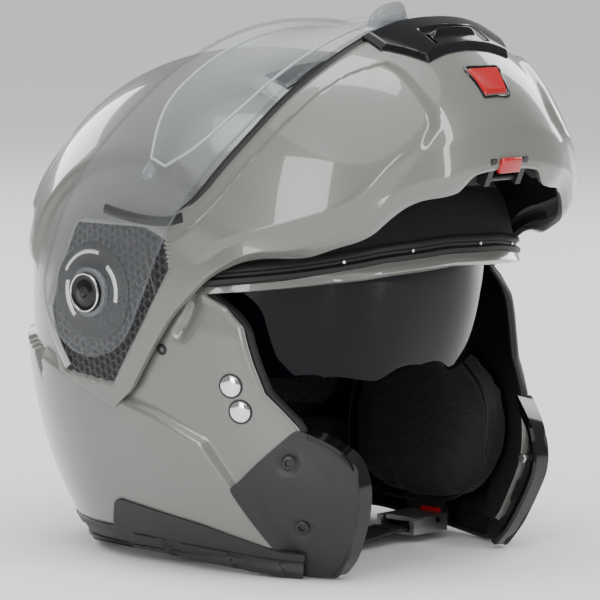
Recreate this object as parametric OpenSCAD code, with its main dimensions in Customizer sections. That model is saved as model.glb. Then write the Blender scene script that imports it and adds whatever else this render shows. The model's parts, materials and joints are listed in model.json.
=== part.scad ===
// Modular flip-up motorcycle helmet, chin bar raised, sun visor down.
// +X is the wearer's left, -Y the front, +Z up; the base stands on z = 0.

/* [Shell] */
// Half width of the shell at its widest
half_width = 127; // [105:1:155]
// Height of the widest line above the base
widest_z = 140; // [125:1:155]
// Rise of the crown above the widest line
crown_rise = 124; // [103:1:149]
// Reach of the shell behind the ear line
back_reach = 113; // [94:1:136]
// Reach of the brow in front of the ear line
brow_reach = 131; // [120:1:145]
// Reach of the cheeks, if they met in front
cheek_reach = 160; // [150:1:170]
// Further reach of the cheeks where the wing covers bulge forward
wing_bulge = 14; // [8:1:16]
// Wall of the outer shell
shell_wall = 3.5; // [2.9:0.1:5]
// Depth of the recess that the chin bar closes over
recess = 3.8; // [3.4:0.1:6]

/* [Liners] */
// Clearance between the shell's recesses and the foam liner
foam_gap = 1.2; // [0.8:0.1:3]
// Inset of the foam liner's outside at the forehead, behind the sun visor
forehead_gap = 31; // [29:0.5:36]
// Inset of the foam liner's inside
foam_depth = 38; // [36:0.5:44]
// Thickness of the comfort lining
lining = 6; // [3:0.5:9]

/* [Chin bar] */
// Height of the chin-bar pivot
pivot_z = 143; // [138:1:148]
// Reach of the closed chin bar in front of the pivot
chin_reach = 172; // [160:1:207]
// How far the chin bar opens, in degrees
chin_swing = 68; // [50:1:70]
// Wall of the chin bar
chin_wall = 3; // [2:0.1:4]
// Gap between the chin bar's arms and the recess
arm_gap = 1.8; // [1.2:0.1:3]
// Radius of the chin-bar pivot pins
pin_r = 9; // [6:0.5:11]
// Radial clearance of every turning fit
fit = 0.05; // [0.02:0.01:0.09]

/* [Visors] */
// Thickness of the clear visor
visor_wall = 2.2; // [1.8:0.1:3]
// Gap between the visor's arms and the side plates
visor_gap = 1.4; // [1:0.1:2.5]
// Radius of the posts the visor turns on
post_r = 8; // [5:0.5:9]
// Sweep radius of the inner sun visor
sun_r = 104; // [95:0.5:104]
// Thickness of the sun visor
sun_wall = 2; // [1.5:0.1:2.5]
// How far the sun visor swings up, in degrees
sun_swing = 42; // [25:1:44]

/* [Base and strap] */
// Height of the base trim
trim_h = 14; // [10:1:18]
// Thickness of the base trim
trim_wall = 6; // [4:0.5:9]
// Width of the chin strap
strap_w = 20; // [16:1:24]
// Thickness of the chin strap
strap_t = 2; // [1.5:0.1:3]

/* [Hidden] */
crown_power = 2.15;   // roundness of the dome in side view
keel_power = 2.2;     // roundness of the flanks below the widest line
plan_power = 2.3;     // roundness in plan view
keel_drop = 190;      // depth at which the flanks would meet
nape_drop = 172;      // the same for the nape
chin_top = 95;        // height above which the front no longer rakes back
chin_drop = 108;
chin_power = 2.6;
arm_w = half_width - recess + arm_gap + chin_wall;   // half width over the arms
plate_t = 1.4;                                       // side-plate thickness
visor_w = arm_w + plate_t + visor_gap + visor_wall;  // half width over the visor
disc_r = 68;                                         // recess radius round the pivot
// The pivot moves forward and down as the chin bar closes.
carrier_shift = [-14, -8];
sun_y = -14;
sun_z = 150;
sun_w = half_width - 25;   // half width of the sun visor
sun_power = 2.3;

function clamp01(t) = max(0, min(1, t));
function smooth(t) = clamp01(t) * clamp01(t) * (3 - 2 * clamp01(t));
function mix(a, b, t) = a + (b - a) * t;
function bulge(t, p) = pow(max(0.0001, 1 - pow(clamp01(t), p)), 1 / p);

// Share of the full width, back or front reach that is left at height z.
function flank(z, d = 0) = z > widest_z ? bulge((z - widest_z) / (crown_rise - d), crown_power)
                                        : bulge((widest_z - z) / keel_drop, keel_power);
function nape(z, d = 0) = z > widest_z ? flank(z, d) : bulge((widest_z - z) / nape_drop, keel_power);
function rake(z) = bulge((chin_top - z) / chin_drop, chin_power);
function bell(t) = exp(-t * t);
function front_len(z, d) = (mix(cheek_reach + wing_bulge * bell((z - 46) / (z > 46 ? 20 : 36)), brow_reach,
    smooth((z - 118) / 50)) - d) * (z > widest_z ? flank(z, d) : 1);
function plan_r(a, w, l) = pow(pow(abs(sin(a)) / w, plan_power) + pow(abs(cos(a)) / l, plan_power),
                               -1 / plan_power);
function plan_x(y, w, l) = w * bulge(abs(y) / l, plan_power);

// Ledge behind which the shell stands proud of the closed chin bar.
ledge = [[-10, -96], [12, -90], [46, -76], [68, -62], [80, -36], [92, 6]];
function in_disc(y, z) = 1 - smooth((norm([y, z - pivot_z] - carrier_shift / 2) - disc_r - 2) / 8);
function in_cheek(y, z) = smooth((lookup(z, ledge) - y) / 8) * (1 - smooth((z - 148) / 10));
function sunk(y, z) = recess * max(in_disc(y, z), in_cheek(y, z));

// Plan radius of the shell at azimuth a (0 in front) and height z, inset by d.
function plain_r(a, z, d) = plan_r(a, (half_width - d) * flank(z, d),
    cos(a) > 0 ? front_len(z, d) : (back_reach - d) * nape(z, d));
function shell_r(a, z, d) = let (r = plain_r(a, z, d)) abs(sin(a)) < 0.3 ? r
    : r - sunk(-r * cos(a), z) * smooth((abs(sin(a)) - 0.3) / 0.2);
function at(a, z, r) = [r * sin(a), -r * cos(a), z];
function shell_x(y, z, d) = plan_x(y, (half_width - d) * flank(z, d), y < 0 ? front_len(z, d)
    : (back_reach - d) * nape(z, d));

// Closed chin bar and side arms.
function chin_r(a, z, d) = plan_r(a, (arm_w - d) * flank(z), (chin_reach - d) * rake(z));
function arm_x(y, z, d) = plan_x(y, (arm_w - d) * flank(z), (chin_reach - d) * rake(z));

// Closed visor: raked from the chin bar's top edge back to the brow.
function visor_len(z) = mix(chin_reach + 1.5, brow_reach + 6, smooth((z - 84) / 92));
function visor_r(a, z, d) = plan_r(a, (visor_w - d) * flank(mix(z, widest_z, 0.5)), visor_len(z) - d);

function spread(list) = [for (row = list) for (p = row) p];

// Closed skin of two equal grids of points, outside and inside.
module slab(outside, inside, ring = false) {
    rows = len(outside);
    cols = len(outside[0]);
    size = rows * cols;
    last = ring ? cols - 1 : cols - 2;
    function id(r, c) = r * cols + c % cols;
    function two(a, b, c, d) = [[a, b, c], [a, c, d]];
    polyhedron(concat(spread(outside), spread(inside)), concat(
        spread([for (r = [0 : rows - 2], c = [0 : last])
            two(id(r, c), id(r, c + 1), id(r + 1, c + 1), id(r + 1, c))]),
        spread([for (r = [0 : rows - 2], c = [0 : last])
            two(size + id(r, c), size + id(r + 1, c), size + id(r + 1, c + 1), size + id(r, c + 1))]),
        spread([for (c = [0 : last]) two(id(0, c + 1), id(0, c), size + id(0, c), size + id(0, c + 1))]),
        spread([for (c = [0 : last]) two(id(rows - 1, c), id(rows - 1, c + 1),
            size + id(rows - 1, c + 1), size + id(rows - 1, c))]),
        ring ? [] : spread([for (r = [0 : rows - 2])
            two(id(r, 0), id(r + 1, 0), size + id(r + 1, 0), size + id(r, 0))]),
        ring ? [] : spread([for (r = [0 : rows - 2])
            two(id(r + 1, cols - 1), id(r, cols - 1), size + id(r, cols - 1), size + id(r + 1, cols - 1))])));
}

// Hood: a dome on a ring of columns, with a skirt that leaves out the front columns.
module hood(d_out, d_in, cols, skip, crown_rows, skirt_rows, rim, low, front_edge, sunk_outside) {
    kept = cols - 2 * skip + 1;
    top = (crown_rows + 1) * cols;
    size = top + skirt_rows * kept;
    turn = 360 / cols;
    function dome_z(c, r, d) = let (z0 = rim(c * turn), u = 90 * (1 - r / crown_rows),
        u0 = asin(pow(clamp01((z0 - widest_z) / (crown_rise - d)), crown_power / 2)),
        v = mix(u0, 88, 1 - r / crown_rows))
        r == crown_rows ? z0 : widest_z + (crown_rise - d) * pow(sin(v), 2 / crown_power);
    function radius(a, z, d) = sunk_outside ? shell_r(a, z, d) : plain_r(a, z, d);
    function dome(r, c, d) = let (z = dome_z(c, r, d)) at(c * turn, z, radius(c * turn, z, d));
    function skirt(r, c, d) = let (s = c <= cols / 2 ? 1 : -1, i = c <= cols / 2 ? c : cols - c,
        z0 = rim(skip * turn), f = r / skirt_rows, a0 = skip * turn,
        z_mid = mix(z0, low(a0), f), a_edge = front_edge(z_mid, a0),
        a = mix(a_edge, 180, (i - skip) / (cols / 2 - skip)),
        z = mix(rim(mix(a0, 180, (i - skip) / (cols / 2 - skip))), low(a), f))
        at(s * a, z, radius(s * a, z, d));
    function net(d) = concat(
        [for (r = [0 : crown_rows], c = [0 : cols - 1]) dome(r, c, d[c])],
        [for (r = [1 : skirt_rows], c = [skip : cols - skip]) skirt(r, c, d[c])]);
    function id(r, c) = r <= crown_rows ? r * cols + c % cols
                                        : top + (r - crown_rows - 1) * kept + c - skip;
    function two(a, b, c, d) = [[a, b, c], [a, c, d]];
    all = crown_rows + skirt_rows;
    cells = concat([for (r = [0 : crown_rows - 1], c = [0 : cols - 1]) [r, c]],
                   [for (r = [crown_rows : all - 1], c = [skip : cols - skip - 1]) [r, c]]);
    edge = concat([for (c = [skip : cols - skip - 1]) [id(all, c), id(all, c + 1)]],
        [for (r = [crown_rows : all - 1]) [id(r, skip), id(r + 1, skip)]],
        [for (r = [crown_rows : all - 1]) [id(r + 1, cols - skip), id(r, cols - skip)]],
        [for (c = [cols - skip : cols + skip - 1]) [id(crown_rows, c), id(crown_rows, c + 1)]]);
    polyhedron(concat(net(d_out), net(d_in)), concat(
        [[for (c = [cols - 1 : -1 : 0]) id(0, c)], [for (c = [0 : cols - 1]) size + id(0, c)]],
        spread([for (k = cells) two(id(k[0], k[1]), id(k[0], k[1] + 1), id(k[0] + 1, k[1] + 1),
            id(k[0] + 1, k[1]))]),
        spread([for (k = cells) two(size + id(k[0], k[1]), size + id(k[0] + 1, k[1]),
            size + id(k[0] + 1, k[1] + 1), size + id(k[0], k[1] + 1))]),
        spread([for (e = edge) two(e[0], e[1], size + e[1], size + e[0])])));
}

// Closed tube through rings of points, with flat ends.
module tube(rings) {
    n = len(rings[0]);
    m = len(rings);
    polyhedron(spread(rings), concat(
        [[for (k = [n - 1 : -1 : 0]) k], [for (k = [0 : n - 1]) (m - 1) * n + k]],
        spread([for (r = [0 : m - 2], k = [0 : n - 1])
            [[r * n + k, r * n + (k + 1) % n, (r + 1) * n + (k + 1) % n],
             [r * n + k, (r + 1) * n + (k + 1) % n, (r + 1) * n + k]]])));
}
function unit(v) = v / norm(v);
// Rings of a w by t section along a path; across is the way the width points.
function bands(path, across, w, t, corners = 4) = [for (i = [0 : len(path) - 1]) let (
    along = unit(path[min(i + 1, len(path) - 1)] - path[max(i - 1, 0)]),
    up = unit(cross(along, across)), side = cross(up, along), k = corners == 4 ? sqrt(2) / 2 : 0.5)
    [for (j = [0 : corners - 1]) let (u = 180 / corners + j * 360 / corners)
        path[i] + side * w * k * cos(u) + up * t * k * sin(u)]];
module both() {
    children();
    mirror([1, 0, 0]) children();
}
// Turns the closed chin bar up to where it stands open.
module raised() {
    translate([0, 0, pivot_z]) rotate([-chin_swing, 0, 0]) translate([0, 0, -pivot_z]) children();
}
module peg(x0, x1, y, z, r, fn = 48) {
    translate([x0, y, z]) rotate([0, 90, 0]) cylinder(h = x1 - x0, r = r, $fn = fn);
}
module eyelet(x0, x1, y, z, r_out, r_in) {
    difference() {
        peg(x0, x1, y, z, r_out);
        peg(x0 - 1, x1 + 1, y, z, r_in);
    }
}
// Points of an outline in side view, with each edge cut into k parts.
function cut_up(list, k) = [for (i = [0 : len(list) - 1], j = [0 : k - 1])
    mix(list[i], list[(i + 1) % len(list)], j / k)];

brow_line = [[0, 162], [20, 160], [40, 154], [60, 148]];
port_edge = [[-20, -92], [0, -96], [15, -106], [41, -112], [60, -112], [79, -111], [88, -104], [97, -96],
             [112, -91], [130, -86], [140, -76], [148, -62]];
function fold(a) = abs(a > 180 ? a - 360 : a);
function shell_rim(a) = lookup(fold(a), brow_line);
function azimuth_at(y, z) = atan2(shell_x(y, z, 0), -y);
turn = 10;            // azimuth step of the hoods
foam_rim = 172;
foam_low = 62;
foam_split = widest_z + 60;

// Closed chin bar, edges by azimuth.
chin_low = [[0, 13], [20, 13.5], [30, 20.5], [43, 25], [56, 46], [63, 66], [72, 80], [85, 92], [108, 103], [112, 112]];
chin_high = [[0, 90], [24, 90], [43, 96], [61, 106], [68, 118], [76, 170], [84, 176], [102, 174], [112, 150]];
chin_end = 112;
visor_low = [[0, 91.5], [24, 91.5], [43, 97.5], [58, 107], [90, 107], [98, 111], [103, 118], [106, 128]];
visor_high = [[0, 170], [30, 169], [50, 171], [65, 176], [80, 179], [90, 179], [98, 175], [103, 168], [106, 158]];
visor_end = 106;
visor_swing = 50;
plate_outline = [[-27, 170], [0, 171], [27, 169], [48, 148], [38, 114], [2, 107], [-33, 102], [-46, 111], [-46, 124]];
wing_outline = [[-110, 79], [-126, 71], [-136, 60], [-137, 42], [-125, 14], [-116, 0], [-98, 0], [-92, 15], [-77, 47]];
pad_outline = [[-8, 122], [-40, 114], [-70, 96], [-94, 84], [-104, 60], [-98, 36], [-84, 20], [-50, 16], [-15, 18],
               [10, 30], [18, 60], [12, 95]];
arm_face = arm_x(0, pivot_z, 0);
carrier_r = pin_r + 3;   // flange of the hinge carriers
post_root = 1;           // depth of the visor posts in the arms
visor_hole = 12;
button_w = 24;
button_h = 14;
button_z = 41;
lever_y = -118;
lever_z = 15.5;
hook_y = -135;
hook_z = 48;
hook_x = arm_x(hook_y - 4, hook_z, chin_wall) - 4.5;
striker_y = -130;
striker_z = 50;
wing_wall = 1.6;
sun_low = [[0, -27], [14, -24.5], [30, -29], [70, -27], [92, -20]];
sun_top = 16;
buckle = [54, -62, 9];

module outer_shell() {
    color("#96978f") hood([for (c = [0 : 35]) 0], [for (c = [0 : 35]) shell_wall], 36, 6, 8, 9,
        function (a) shell_rim(a), function (a) trim_h,
        function (z, a) azimuth_at(lookup(z, port_edge), z), true);
}
// Foam liner, in a crown piece and a main piece that meet at one height.
module foam(below) {
    gap = [for (c = [0 : 35]) mix(forehead_gap, shell_wall + recess + foam_gap,
        smooth((fold(c * turn) - 92) / 22))];
    color("#2b2b2b") resize([0, 0, 0]) difference() {
        hood(gap, [for (c = [0 : 35]) foam_depth], 36, 11, 6, 4,
            function (a) fold(a) < 80 ? foam_rim : mix(foam_rim, 150, smooth((fold(a) - 70) / 20)),
            function (a) foam_low, function (z, a) a, false);
        translate([-back_reach * 2, -back_reach * 2, foam_split - (below ? back_reach * 4 : 0)])
            cube(back_reach * 4);
    }
}
module foam_liner() { foam(false); }
module foam_crown() { foam(true); }
module comfort_liner() {
    color("#161616") hood([for (c = [0 : 35]) foam_depth + 1],
        [for (c = [0 : 35]) foam_depth + lining], 36, 11, 6, 4,
        function (a) fold(a) < 80 ? foam_rim + 2 : 152, function (a) foam_low + 8, function (z, a) a, false);
}
// Panel between two insets of the flank, spread from a middle point to an outline.
module panel(outline, middle, rows, k, face, back) {
    ring = cut_up(outline, k);
    function row(x) = [for (r = [0 : rows]) [for (p = ring) let (q = mix(middle, p, max(0.04, r / rows)))
        [x(q[0], q[1]), q[0], q[1]]]];
    top = row(face);
    under = row(back);
    n = len(ring);
    size = (rows + 1) * n;
    function id(r, c) = r * n + c % n;
    polyhedron(concat(spread(top), spread(under)), concat(
        [[for (c = [0 : n - 1]) c], [for (c = [n - 1 : -1 : 0]) size + c]],
        spread([for (r = [0 : rows - 1], c = [0 : n - 1])
            [[id(r, c), id(r + 1, c), id(r + 1, c + 1)], [id(r, c), id(r + 1, c + 1), id(r, c + 1)]]]),
        spread([for (r = [0 : rows - 1], c = [0 : n - 1])
            [[size + id(r, c), size + id(r + 1, c + 1), size + id(r + 1, c)],
             [size + id(r, c), size + id(r, c + 1), size + id(r + 1, c + 1)]]]),
        spread([for (c = [0 : n - 1])
            [[id(rows, c), size + id(rows, c), size + id(rows, c + 1)],
             [id(rows, c), size + id(rows, c + 1), id(rows, c + 1)]]])));
}
module cheek_pad() {
    color("#1b1b1b") panel(pad_outline, [-42, 62], 4, 2,
        function (y, z) shell_x(y, z, recess + shell_wall + 1.2),
        function (y, z) shell_x(y, z, foam_depth - 3));
}
module cheek_pad_left() { cheek_pad(); }
module cheek_pad_right() { mirror([1, 0, 0]) cheek_pad(); }
module neck_roll() {
    function wall(d) = [for (z = [18 : 10 : 58]) [for (a = [85 : 10 : 275]) at(a, z, plain_r(a, z, d))]];
    color("#1b1b1b") slab(wall(8), wall(28));
}
module brow_gasket() {
    path = [for (a = [-60 : 7.5 : 60]) at(a, shell_rim(abs(a)) + 3.5,
        plain_r(a, shell_rim(abs(a)) + 3.5, 0.5))];
    color("#111111") tube(bands(path, [0, 0, 1], 9, 7, 6));
}
module port_trim() {
    path = [for (z = [148 : -8.5 : 80]) let (y = lookup(z, port_edge)) [shell_x(y, z, recess + 1.8), y, z]];
    color("#111111") both() tube(bands(path, [1, 0, 0], 6.5, 5, 6));
}
module wing_cover() {
    color("#26272a") panel(wing_outline, [-108, 38], 3, 2,
        function (y, z) shell_x(y, z, recess - wing_wall),
        function (y, z) shell_x(y, z, recess - 0.1));
}
module wing_cover_left() { wing_cover(); }
module wing_cover_right() { mirror([1, 0, 0]) wing_cover(); }
module lock_plates() {
    path = [for (p = [[-114, 76], [-125, 69], [-133, 59], [-134, 42], [-122, 17], [-112, 4]])
        [shell_x(p[0], p[1], recess + 3.4), p[0], p[1]]];
    color("#0b0b0b") both() tube(bands(path, [1, 0, 0], 5.5, 3));
}
module lock_strikers() {
    x1 = shell_x(striker_y, striker_z, recess + 2);
    color("silver") both() peg(hook_x - 3, x1, striker_y, striker_z, 2.5);
}
module bottom_trim() {
    outline = concat([for (a = [47 : 7 : 313]) at(a, 10, plain_r(a, 10, -0.8))],
                     [for (a = [313 : -7 : 47]) at(a, 10, plain_r(a, 10, trim_wall))]);
    color("#202123") linear_extrude(trim_h - 0.1) polygon([for (p = outline) [p[0], p[1]]]);
}
module rivet(y, z, r, high, lean) {
    translate([shell_x(y, z, recess), y, z]) rotate([0, 0, -lean]) rotate([0, 90, 0]) {
        translate([0, 0, -shell_wall]) cylinder(h = shell_wall, r = r / 2, $fn = 24);
        cylinder(h = high, r = r, $fn = 36);
    }
}
module strap_rivets() {
    color("#d8d8d8") both() {
        rivet(-79, 100, 5.6, 1.1, 17);
        rivet(-83, 87, 5.6, 1.1, 19);
    }
}
module wing_screws() {
    color("#1c1c1e") both() for (p = [[-106, 62], [-108, 28]])
        translate([shell_x(p[0], p[1], recess - wing_wall), p[0], p[1]]) rotate([0, 0, -38])
            rotate([0, 90, 0]) translate([0, 0, -1.2]) cylinder(h = 1.7, r = 4, $fn = 36);
}
module side_screws() {
    color("#1c1c1e") both() rivet(-41, 116, 2.6, 0.7, 7);
}
// Patch of the dome between two insets.
module cap_patch(x0, x1, y0, y1, d_out, d_in, nx = 8, ny = 3) {
    function lift(x, y, d) = widest_z + (crown_rise - d) * bulge(pow(pow(abs(x) / (half_width - d), plan_power)
        + pow(abs(y) / (brow_reach - d), plan_power), 1 / plan_power), crown_power);
    function net(d) = [for (i = [0 : ny]) [for (j = [0 : nx]) let (x = mix(x1, x0, j / nx), y = mix(y0, y1, i / ny))
        [x, y, lift(x, y, d)]]];
    slab(net(d_out), net(d_in));
}
module top_vent_base() { color("#96978f") cap_patch(-56, 56, -66, -26, -2.4, 0.5); }
module top_vent_slider() { color("#1e1e20") cap_patch(-50, 50, -60, -46, -5.4, -3.2); }
module rear_spoiler() {
    function wall(d) = [for (z = [178, 190, 204, 216]) [for (a = [128 : 8 : 232])
        at(a, z, plain_r(a, z, z > 185 && z < 210 ? d : min(d, 0.3) / 2 - 0.2))]];
    color("#96978f") slab(wall(-6.5), [for (z = [178, 190, 204, 216]) [for (a = [128 : 8 : 232])
        at(a, z, plain_r(a, z, 0.8))]]);
}
module rear_extractor() {
    function wall(d) = [for (z = [150, 160, 170]) [for (a = [156 : 8 : 204]) at(a, z, plain_r(a, z, d))]];
    color("#1a1a1a") slab(wall(-3), wall(0.4));
}
module hinge_carriers() {
    face = shell_x(0, pivot_z, recess);
    color("#3a3a3c") both() {
        peg(face + 0.4, arm_face - post_root - 0.4, 0, pivot_z, pin_r);
        peg(face + 0.4, face + 1.3, 0, pivot_z, carrier_r);
    }
}
// Rails on the shell that guide the carriers.
module hinge_rails() {
    slide = unit(carrier_shift);
    function spot(u, v) = [u * slide[0] - v * slide[1], pivot_z + u * slide[1] + v * slide[0]];
    color("#3a3a3c") both() for (s = [-1, 1])
        tube(bands([for (u = [-14 : 9 : 22]) let (p = spot(u, s * (carrier_r + 2)))
            [shell_x(p[0], p[1], recess) - 1.3, p[0], p[1]]], [1, 0, 0], 1.6, 2));
}
module sun_visor_pins() {
    color("#3a3a3c") both() peg(sun_w - 4.5, shell_x(sun_y, sun_z, recess + shell_wall) + 0.6, sun_y, sun_z, 5);
}
module comm_cover() {
    ring = [for (u = [0 : 30 : 330]) [34 + 22 * cos(u), 62 + 15 * sin(u)]];
    color("#8c8d86") panel(ring, [34, 62], 2, 1, function (y, z) shell_x(y, z, -1.6),
        function (y, z) shell_x(y, z, 0.5));
}
module sun_visor_slider() {
    function wall(d) = [for (z = [38, 42, 47]) [for (y = [-8 : 4 : 8]) [shell_x(y, z, d), y, z]]];
    color("#1e1e20") slab(wall(-4.2), wall(-1));
}
module chin_bar() {
    function edge_r(a, f, d) = let (z = mix(lookup(abs(a), chin_low), lookup(abs(a), chin_high), f))
        at(a, z, chin_r(a, z, d));
    function wall(d) = [for (f = [0 : 0.125 : 1]) [for (a = [-chin_end : 8 : chin_end]) edge_r(a, f, d)]];
    color("#96978f") raised() resize([0, 0, 0]) difference() {
        slab(wall(0), wall(chin_wall));
        both() peg(arm_face - 9, arm_face + 9, 0, pivot_z, carrier_r + 1, 32);
        translate([-button_w / 2 - 0.6, -chin_reach - 9, button_z - button_h / 2 - 0.6])
            cube([button_w + 1.2, 30, button_h + 1.2]);
    }
}
module chin_bushes() {
    color("#3a3a3c") raised() both()
        eyelet(arm_face - chin_wall + 0.2, arm_face - post_root - 0.1, 0, pivot_z, carrier_r + 2, pin_r + fit);
}
module chin_liner() {
    function wall(d) = [for (z = [22 : 12 : 82]) [for (a = [-20 : 5 : 20]) at(a, z, chin_r(a, z, d))]];
    color("#161616") raised() slab(wall(chin_wall + 0.8), wall(chin_wall + 12));
}
module side_plate() {
    ring = cut_up(plate_outline, 3);
    hole_r = 26;
    function row(d) = [for (r = [0 : 2]) [for (p = ring) let (v = p - [0, pivot_z],
        q = [0, pivot_z] + unit(v) * mix(hole_r, norm(v), r / 2)) [arm_x(q[0], q[1], d), q[0], q[1]]]];
    color("#2a2b2e") raised() slab([for (r = [2 : -1 : 0]) row(-plate_t)[r]],
        [for (r = [2 : -1 : 0]) row(0.2)[r]], true);
}
module side_plate_left() { side_plate(); }
module side_plate_right() { mirror([1, 0, 0]) side_plate(); }
module side_slots() {
    path = [for (p = [[25, 176.5], [36, 167], [50, 154]]) [arm_x(p[0], p[1], 0.2), p[0], p[1]]];
    color("#b9babb") raised() both() tube(bands(path, [1, 0, 0], 1.8, 4));
}
module chin_vent_base() {
    low = [[0, 60], [6, 59], [11, 57], [16, 76]];
    function wall(d) = [for (f = [0 : 0.25 : 1]) [for (a = [-16 : 4 : 16]) let (z = mix(lookup(abs(a), low), 89.5, f))
        at(a, z, chin_r(a, z, d))]];
    color("#0c0c0d") raised() slab(wall(-2.6), wall(0.3));
}
module chin_vent_slider() {
    function wall(d) = [for (z = [66, 70, 74]) [for (a = [-6 : 3 : 6]) at(a, z, chin_r(a, z, d))]];
    color("#18181a") raised() slab(wall(-5.6), wall(-3.2));
}
module release_button() {
    function wall(d) = [for (v = [-1 : 0.5 : 1]) [for (u = [-1 : 0.5 : 1]) let (
        z = button_z + v * button_h / 2, r = chin_r(0, z, d), x = u * (button_w / 2 - 1.5 + 1.5 * v))
        at(asin(x / r), z, r)]];
    color("#d3121e") raised() slab(wall(-1.4), wall(0.6));
}
module release_lever() {
    color("#d3121e") raised() difference() {
        union() {
            translate([-9.5, lever_y - 11, lever_z - 5]) cube([19, 11, 3]);
            peg(-9.5, 9.5, lever_y, lever_z, 3);
            translate([-9.5, lever_y - 3, lever_z - 5]) cube([19, 3, 5]);
        }
        peg(-11, 11, lever_y, lever_z, 1.5 + fit, 24);
    }
}
module lever_pin() {
    color("silver") raised() {
        peg(-14, 14, lever_y, lever_z, 1.5, 24);
        for (s = [-1, 1]) translate([s * 12.5 - 2, lever_y - 12, lever_z - 3]) cube([4, 15, 6]);
    }
}
module lock_hook() {
    color("#55565a") raised() difference() {
        union() {
            peg(hook_x - 2.5, hook_x + 2.5, hook_y, hook_z, 4);
            translate([hook_x - 2.5, hook_y - 2.5, hook_z]) cube([5, 5, 14]);
            translate([hook_x - 2.5, hook_y - 2.5, hook_z + 12]) cube([5, 14, 3]);
        }
        peg(hook_x - 9, hook_x + 9, hook_y, hook_z, 1.5 + fit, 24);
    }
}
module lock_hook_left() { lock_hook(); }
module lock_hook_right() { mirror([1, 0, 0]) lock_hook(); }
module hook_pins() {
    color("silver") raised() both() peg(hook_x - 5, arm_x(hook_y, hook_z, chin_wall) + 1, hook_y, hook_z, 1.5, 24);
}
module visor_posts() {
    color("#232427") raised() both() {
        peg(arm_face - post_root, arm_face + plate_t, 0, pivot_z, 25.6);
        peg(arm_face - post_root, visor_w + 0.4, 0, pivot_z, post_r);
    }
}
module visor_ratchets() {
    color("#c8c8ca") raised() both() difference() {
        eyelet(arm_face + plate_t - 0.2, arm_face + plate_t + 0.5, 0, pivot_z, 18, 14);
        translate([arm_face, -10, pivot_z - 30]) cube([9, 20, 60]);
    }
}
module pivot_caps() {
    color("#1b1c1e") raised() both() difference() {
        peg(visor_w + 0.4, visor_w + 2.4, 0, pivot_z, 10.5);
        translate([visor_w + 1.4, -7, pivot_z - 1.2]) cube([3, 14, 2.4]);
    }
}
function visor_wall_at(d, f0, f1, rows, a1, step) = [for (i = [0 : rows]) [for (a = [-a1 : step : a1])
    let (z = mix(lookup(abs(a), visor_low), lookup(abs(a), visor_high), mix(f0, f1, i / rows)))
    at(a, z, visor_r(a, z, d))]];
module visor() {
    color("#dfe6ea", 0.35) raised() resize([0, 0, 0]) difference() {
        slab(visor_wall_at(0, 0, 1, 8, visor_end, 5.3), visor_wall_at(visor_wall, 0, 1, 8, visor_end, 5.3));
        both() peg(visor_w - 9, visor_w + 9, 0, pivot_z, visor_hole, 32);
    }
}
module visor_bushes() {
    color("#dfe6ea", 0.5) raised() both()
        eyelet(visor_w - visor_wall - 0.3, visor_w + 0.1, 0, pivot_z, visor_hole + 0.4, post_r + fit);
}
module visor_seal() {
    path = [for (a = [-62 : 6.2 : 62]) let (z = lookup(abs(a), chin_high) - 0.4) at(a, z, chin_r(a, z, chin_wall + 0.6))];
    color("#101010") raised() tube(bands(path, [0, 0, 1], 4, 4, 6));
}
module fog_lens() {
    color("#dfe6ea", 0.3) raised() slab(visor_wall_at(visor_wall + 0.5, 0.18, 0.86, 4, 56, 8),
        visor_wall_at(visor_wall + 1.5, 0.18, 0.86, 4, 56, 8));
}
module fog_pins() {
    color("#dfe6ea", 0.6) raised() both() let (a = 60, z = 138) translate(at(a, z, visor_r(a, z, visor_wall + 1.8)))
        rotate([0, 0, a - 90]) rotate([0, 90, 0]) cylinder(h = 2.4, r = 4, $fn = 24);
}
module sun_visor() {
    function row(f, d) = [for (p = [-76 : 8 : 76]) let (c = pow(cos(p), 2 / sun_power),
        x = sun_w * sign(p) * pow(abs(sin(p)), 2 / sun_power) * (1 - d / sun_w), r = (sun_r - d) * c,
        t = mix(lookup(abs(x), sun_low), sun_top, f))
        [x, sun_y - r * cos(t), sun_z + r * sin(t)]];
    color("#1a1d22", 0.6) slab([for (f = [0 : 0.2 : 1]) row(f, 0)], [for (f = [0 : 0.2 : 1]) row(f, sun_wall)]);
}
module sun_visor_ears() {
    color("#1a1d22") both() union() {
        eyelet(sun_w - 3.6, sun_w - 1, sun_y, sun_z, 13, 5 + fit);
        difference() {
            translate([sun_w - 3.6, sun_y - 34, sun_z - 9]) cube([2.6, 26, 14]);
            peg(sun_w - 9, sun_w + 9, sun_y, sun_z, 12);
        }
    }
}
module strap_left() {
    root = half_width - 45;
    path = [[root + 4, -38, 30], [root, -44, 20], [78, -54, 12], [71, -61, 9],
        [buckle[0] + 13, buckle[1], buckle[2]]];
    color("#121212") tube(bands(path, [0, 1, 0], strap_w, strap_t));
}
module strap_right() {
    root = half_width - 45;
    path = [[-root, -32, 30], [6 - root, -38, 20], [-64, -48, 11], [-44, -56, 6], [-15, -61, 4.5],
        [12, -62, 6], [26, -62, 8]];
    color("#121212") tube(bands(path, [0, 1, 0], strap_w, strap_t));
}
module strap_tongue() {
    color("#202022") {
        translate([22, buckle[1] - 9, buckle[2] - 2.2]) cube([20, 18, 1.2]);
        for (x = [28 : 2 : 40]) translate([x, buckle[1] - 7, buckle[2] - 1.1]) cube([1, 14, 1]);
    }
}
module buckle_body() {
    color("#b5b6b8") difference() {
        translate([buckle[0] - 14, buckle[1] - 13, buckle[2] - 4.5]) cube([28, 26, 9]);
        translate([buckle[0] - 15, buckle[1] - 10, buckle[2] - 3]) cube([25, 20, 9]);
    }
}
module buckle_pin() {
    color("silver") translate([buckle[0] + 6, buckle[1] - 13, buckle[2] + 2]) rotate([-90, 0, 0])
        cylinder(h = 26, r = 1.5, $fn = 24);
}
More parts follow.
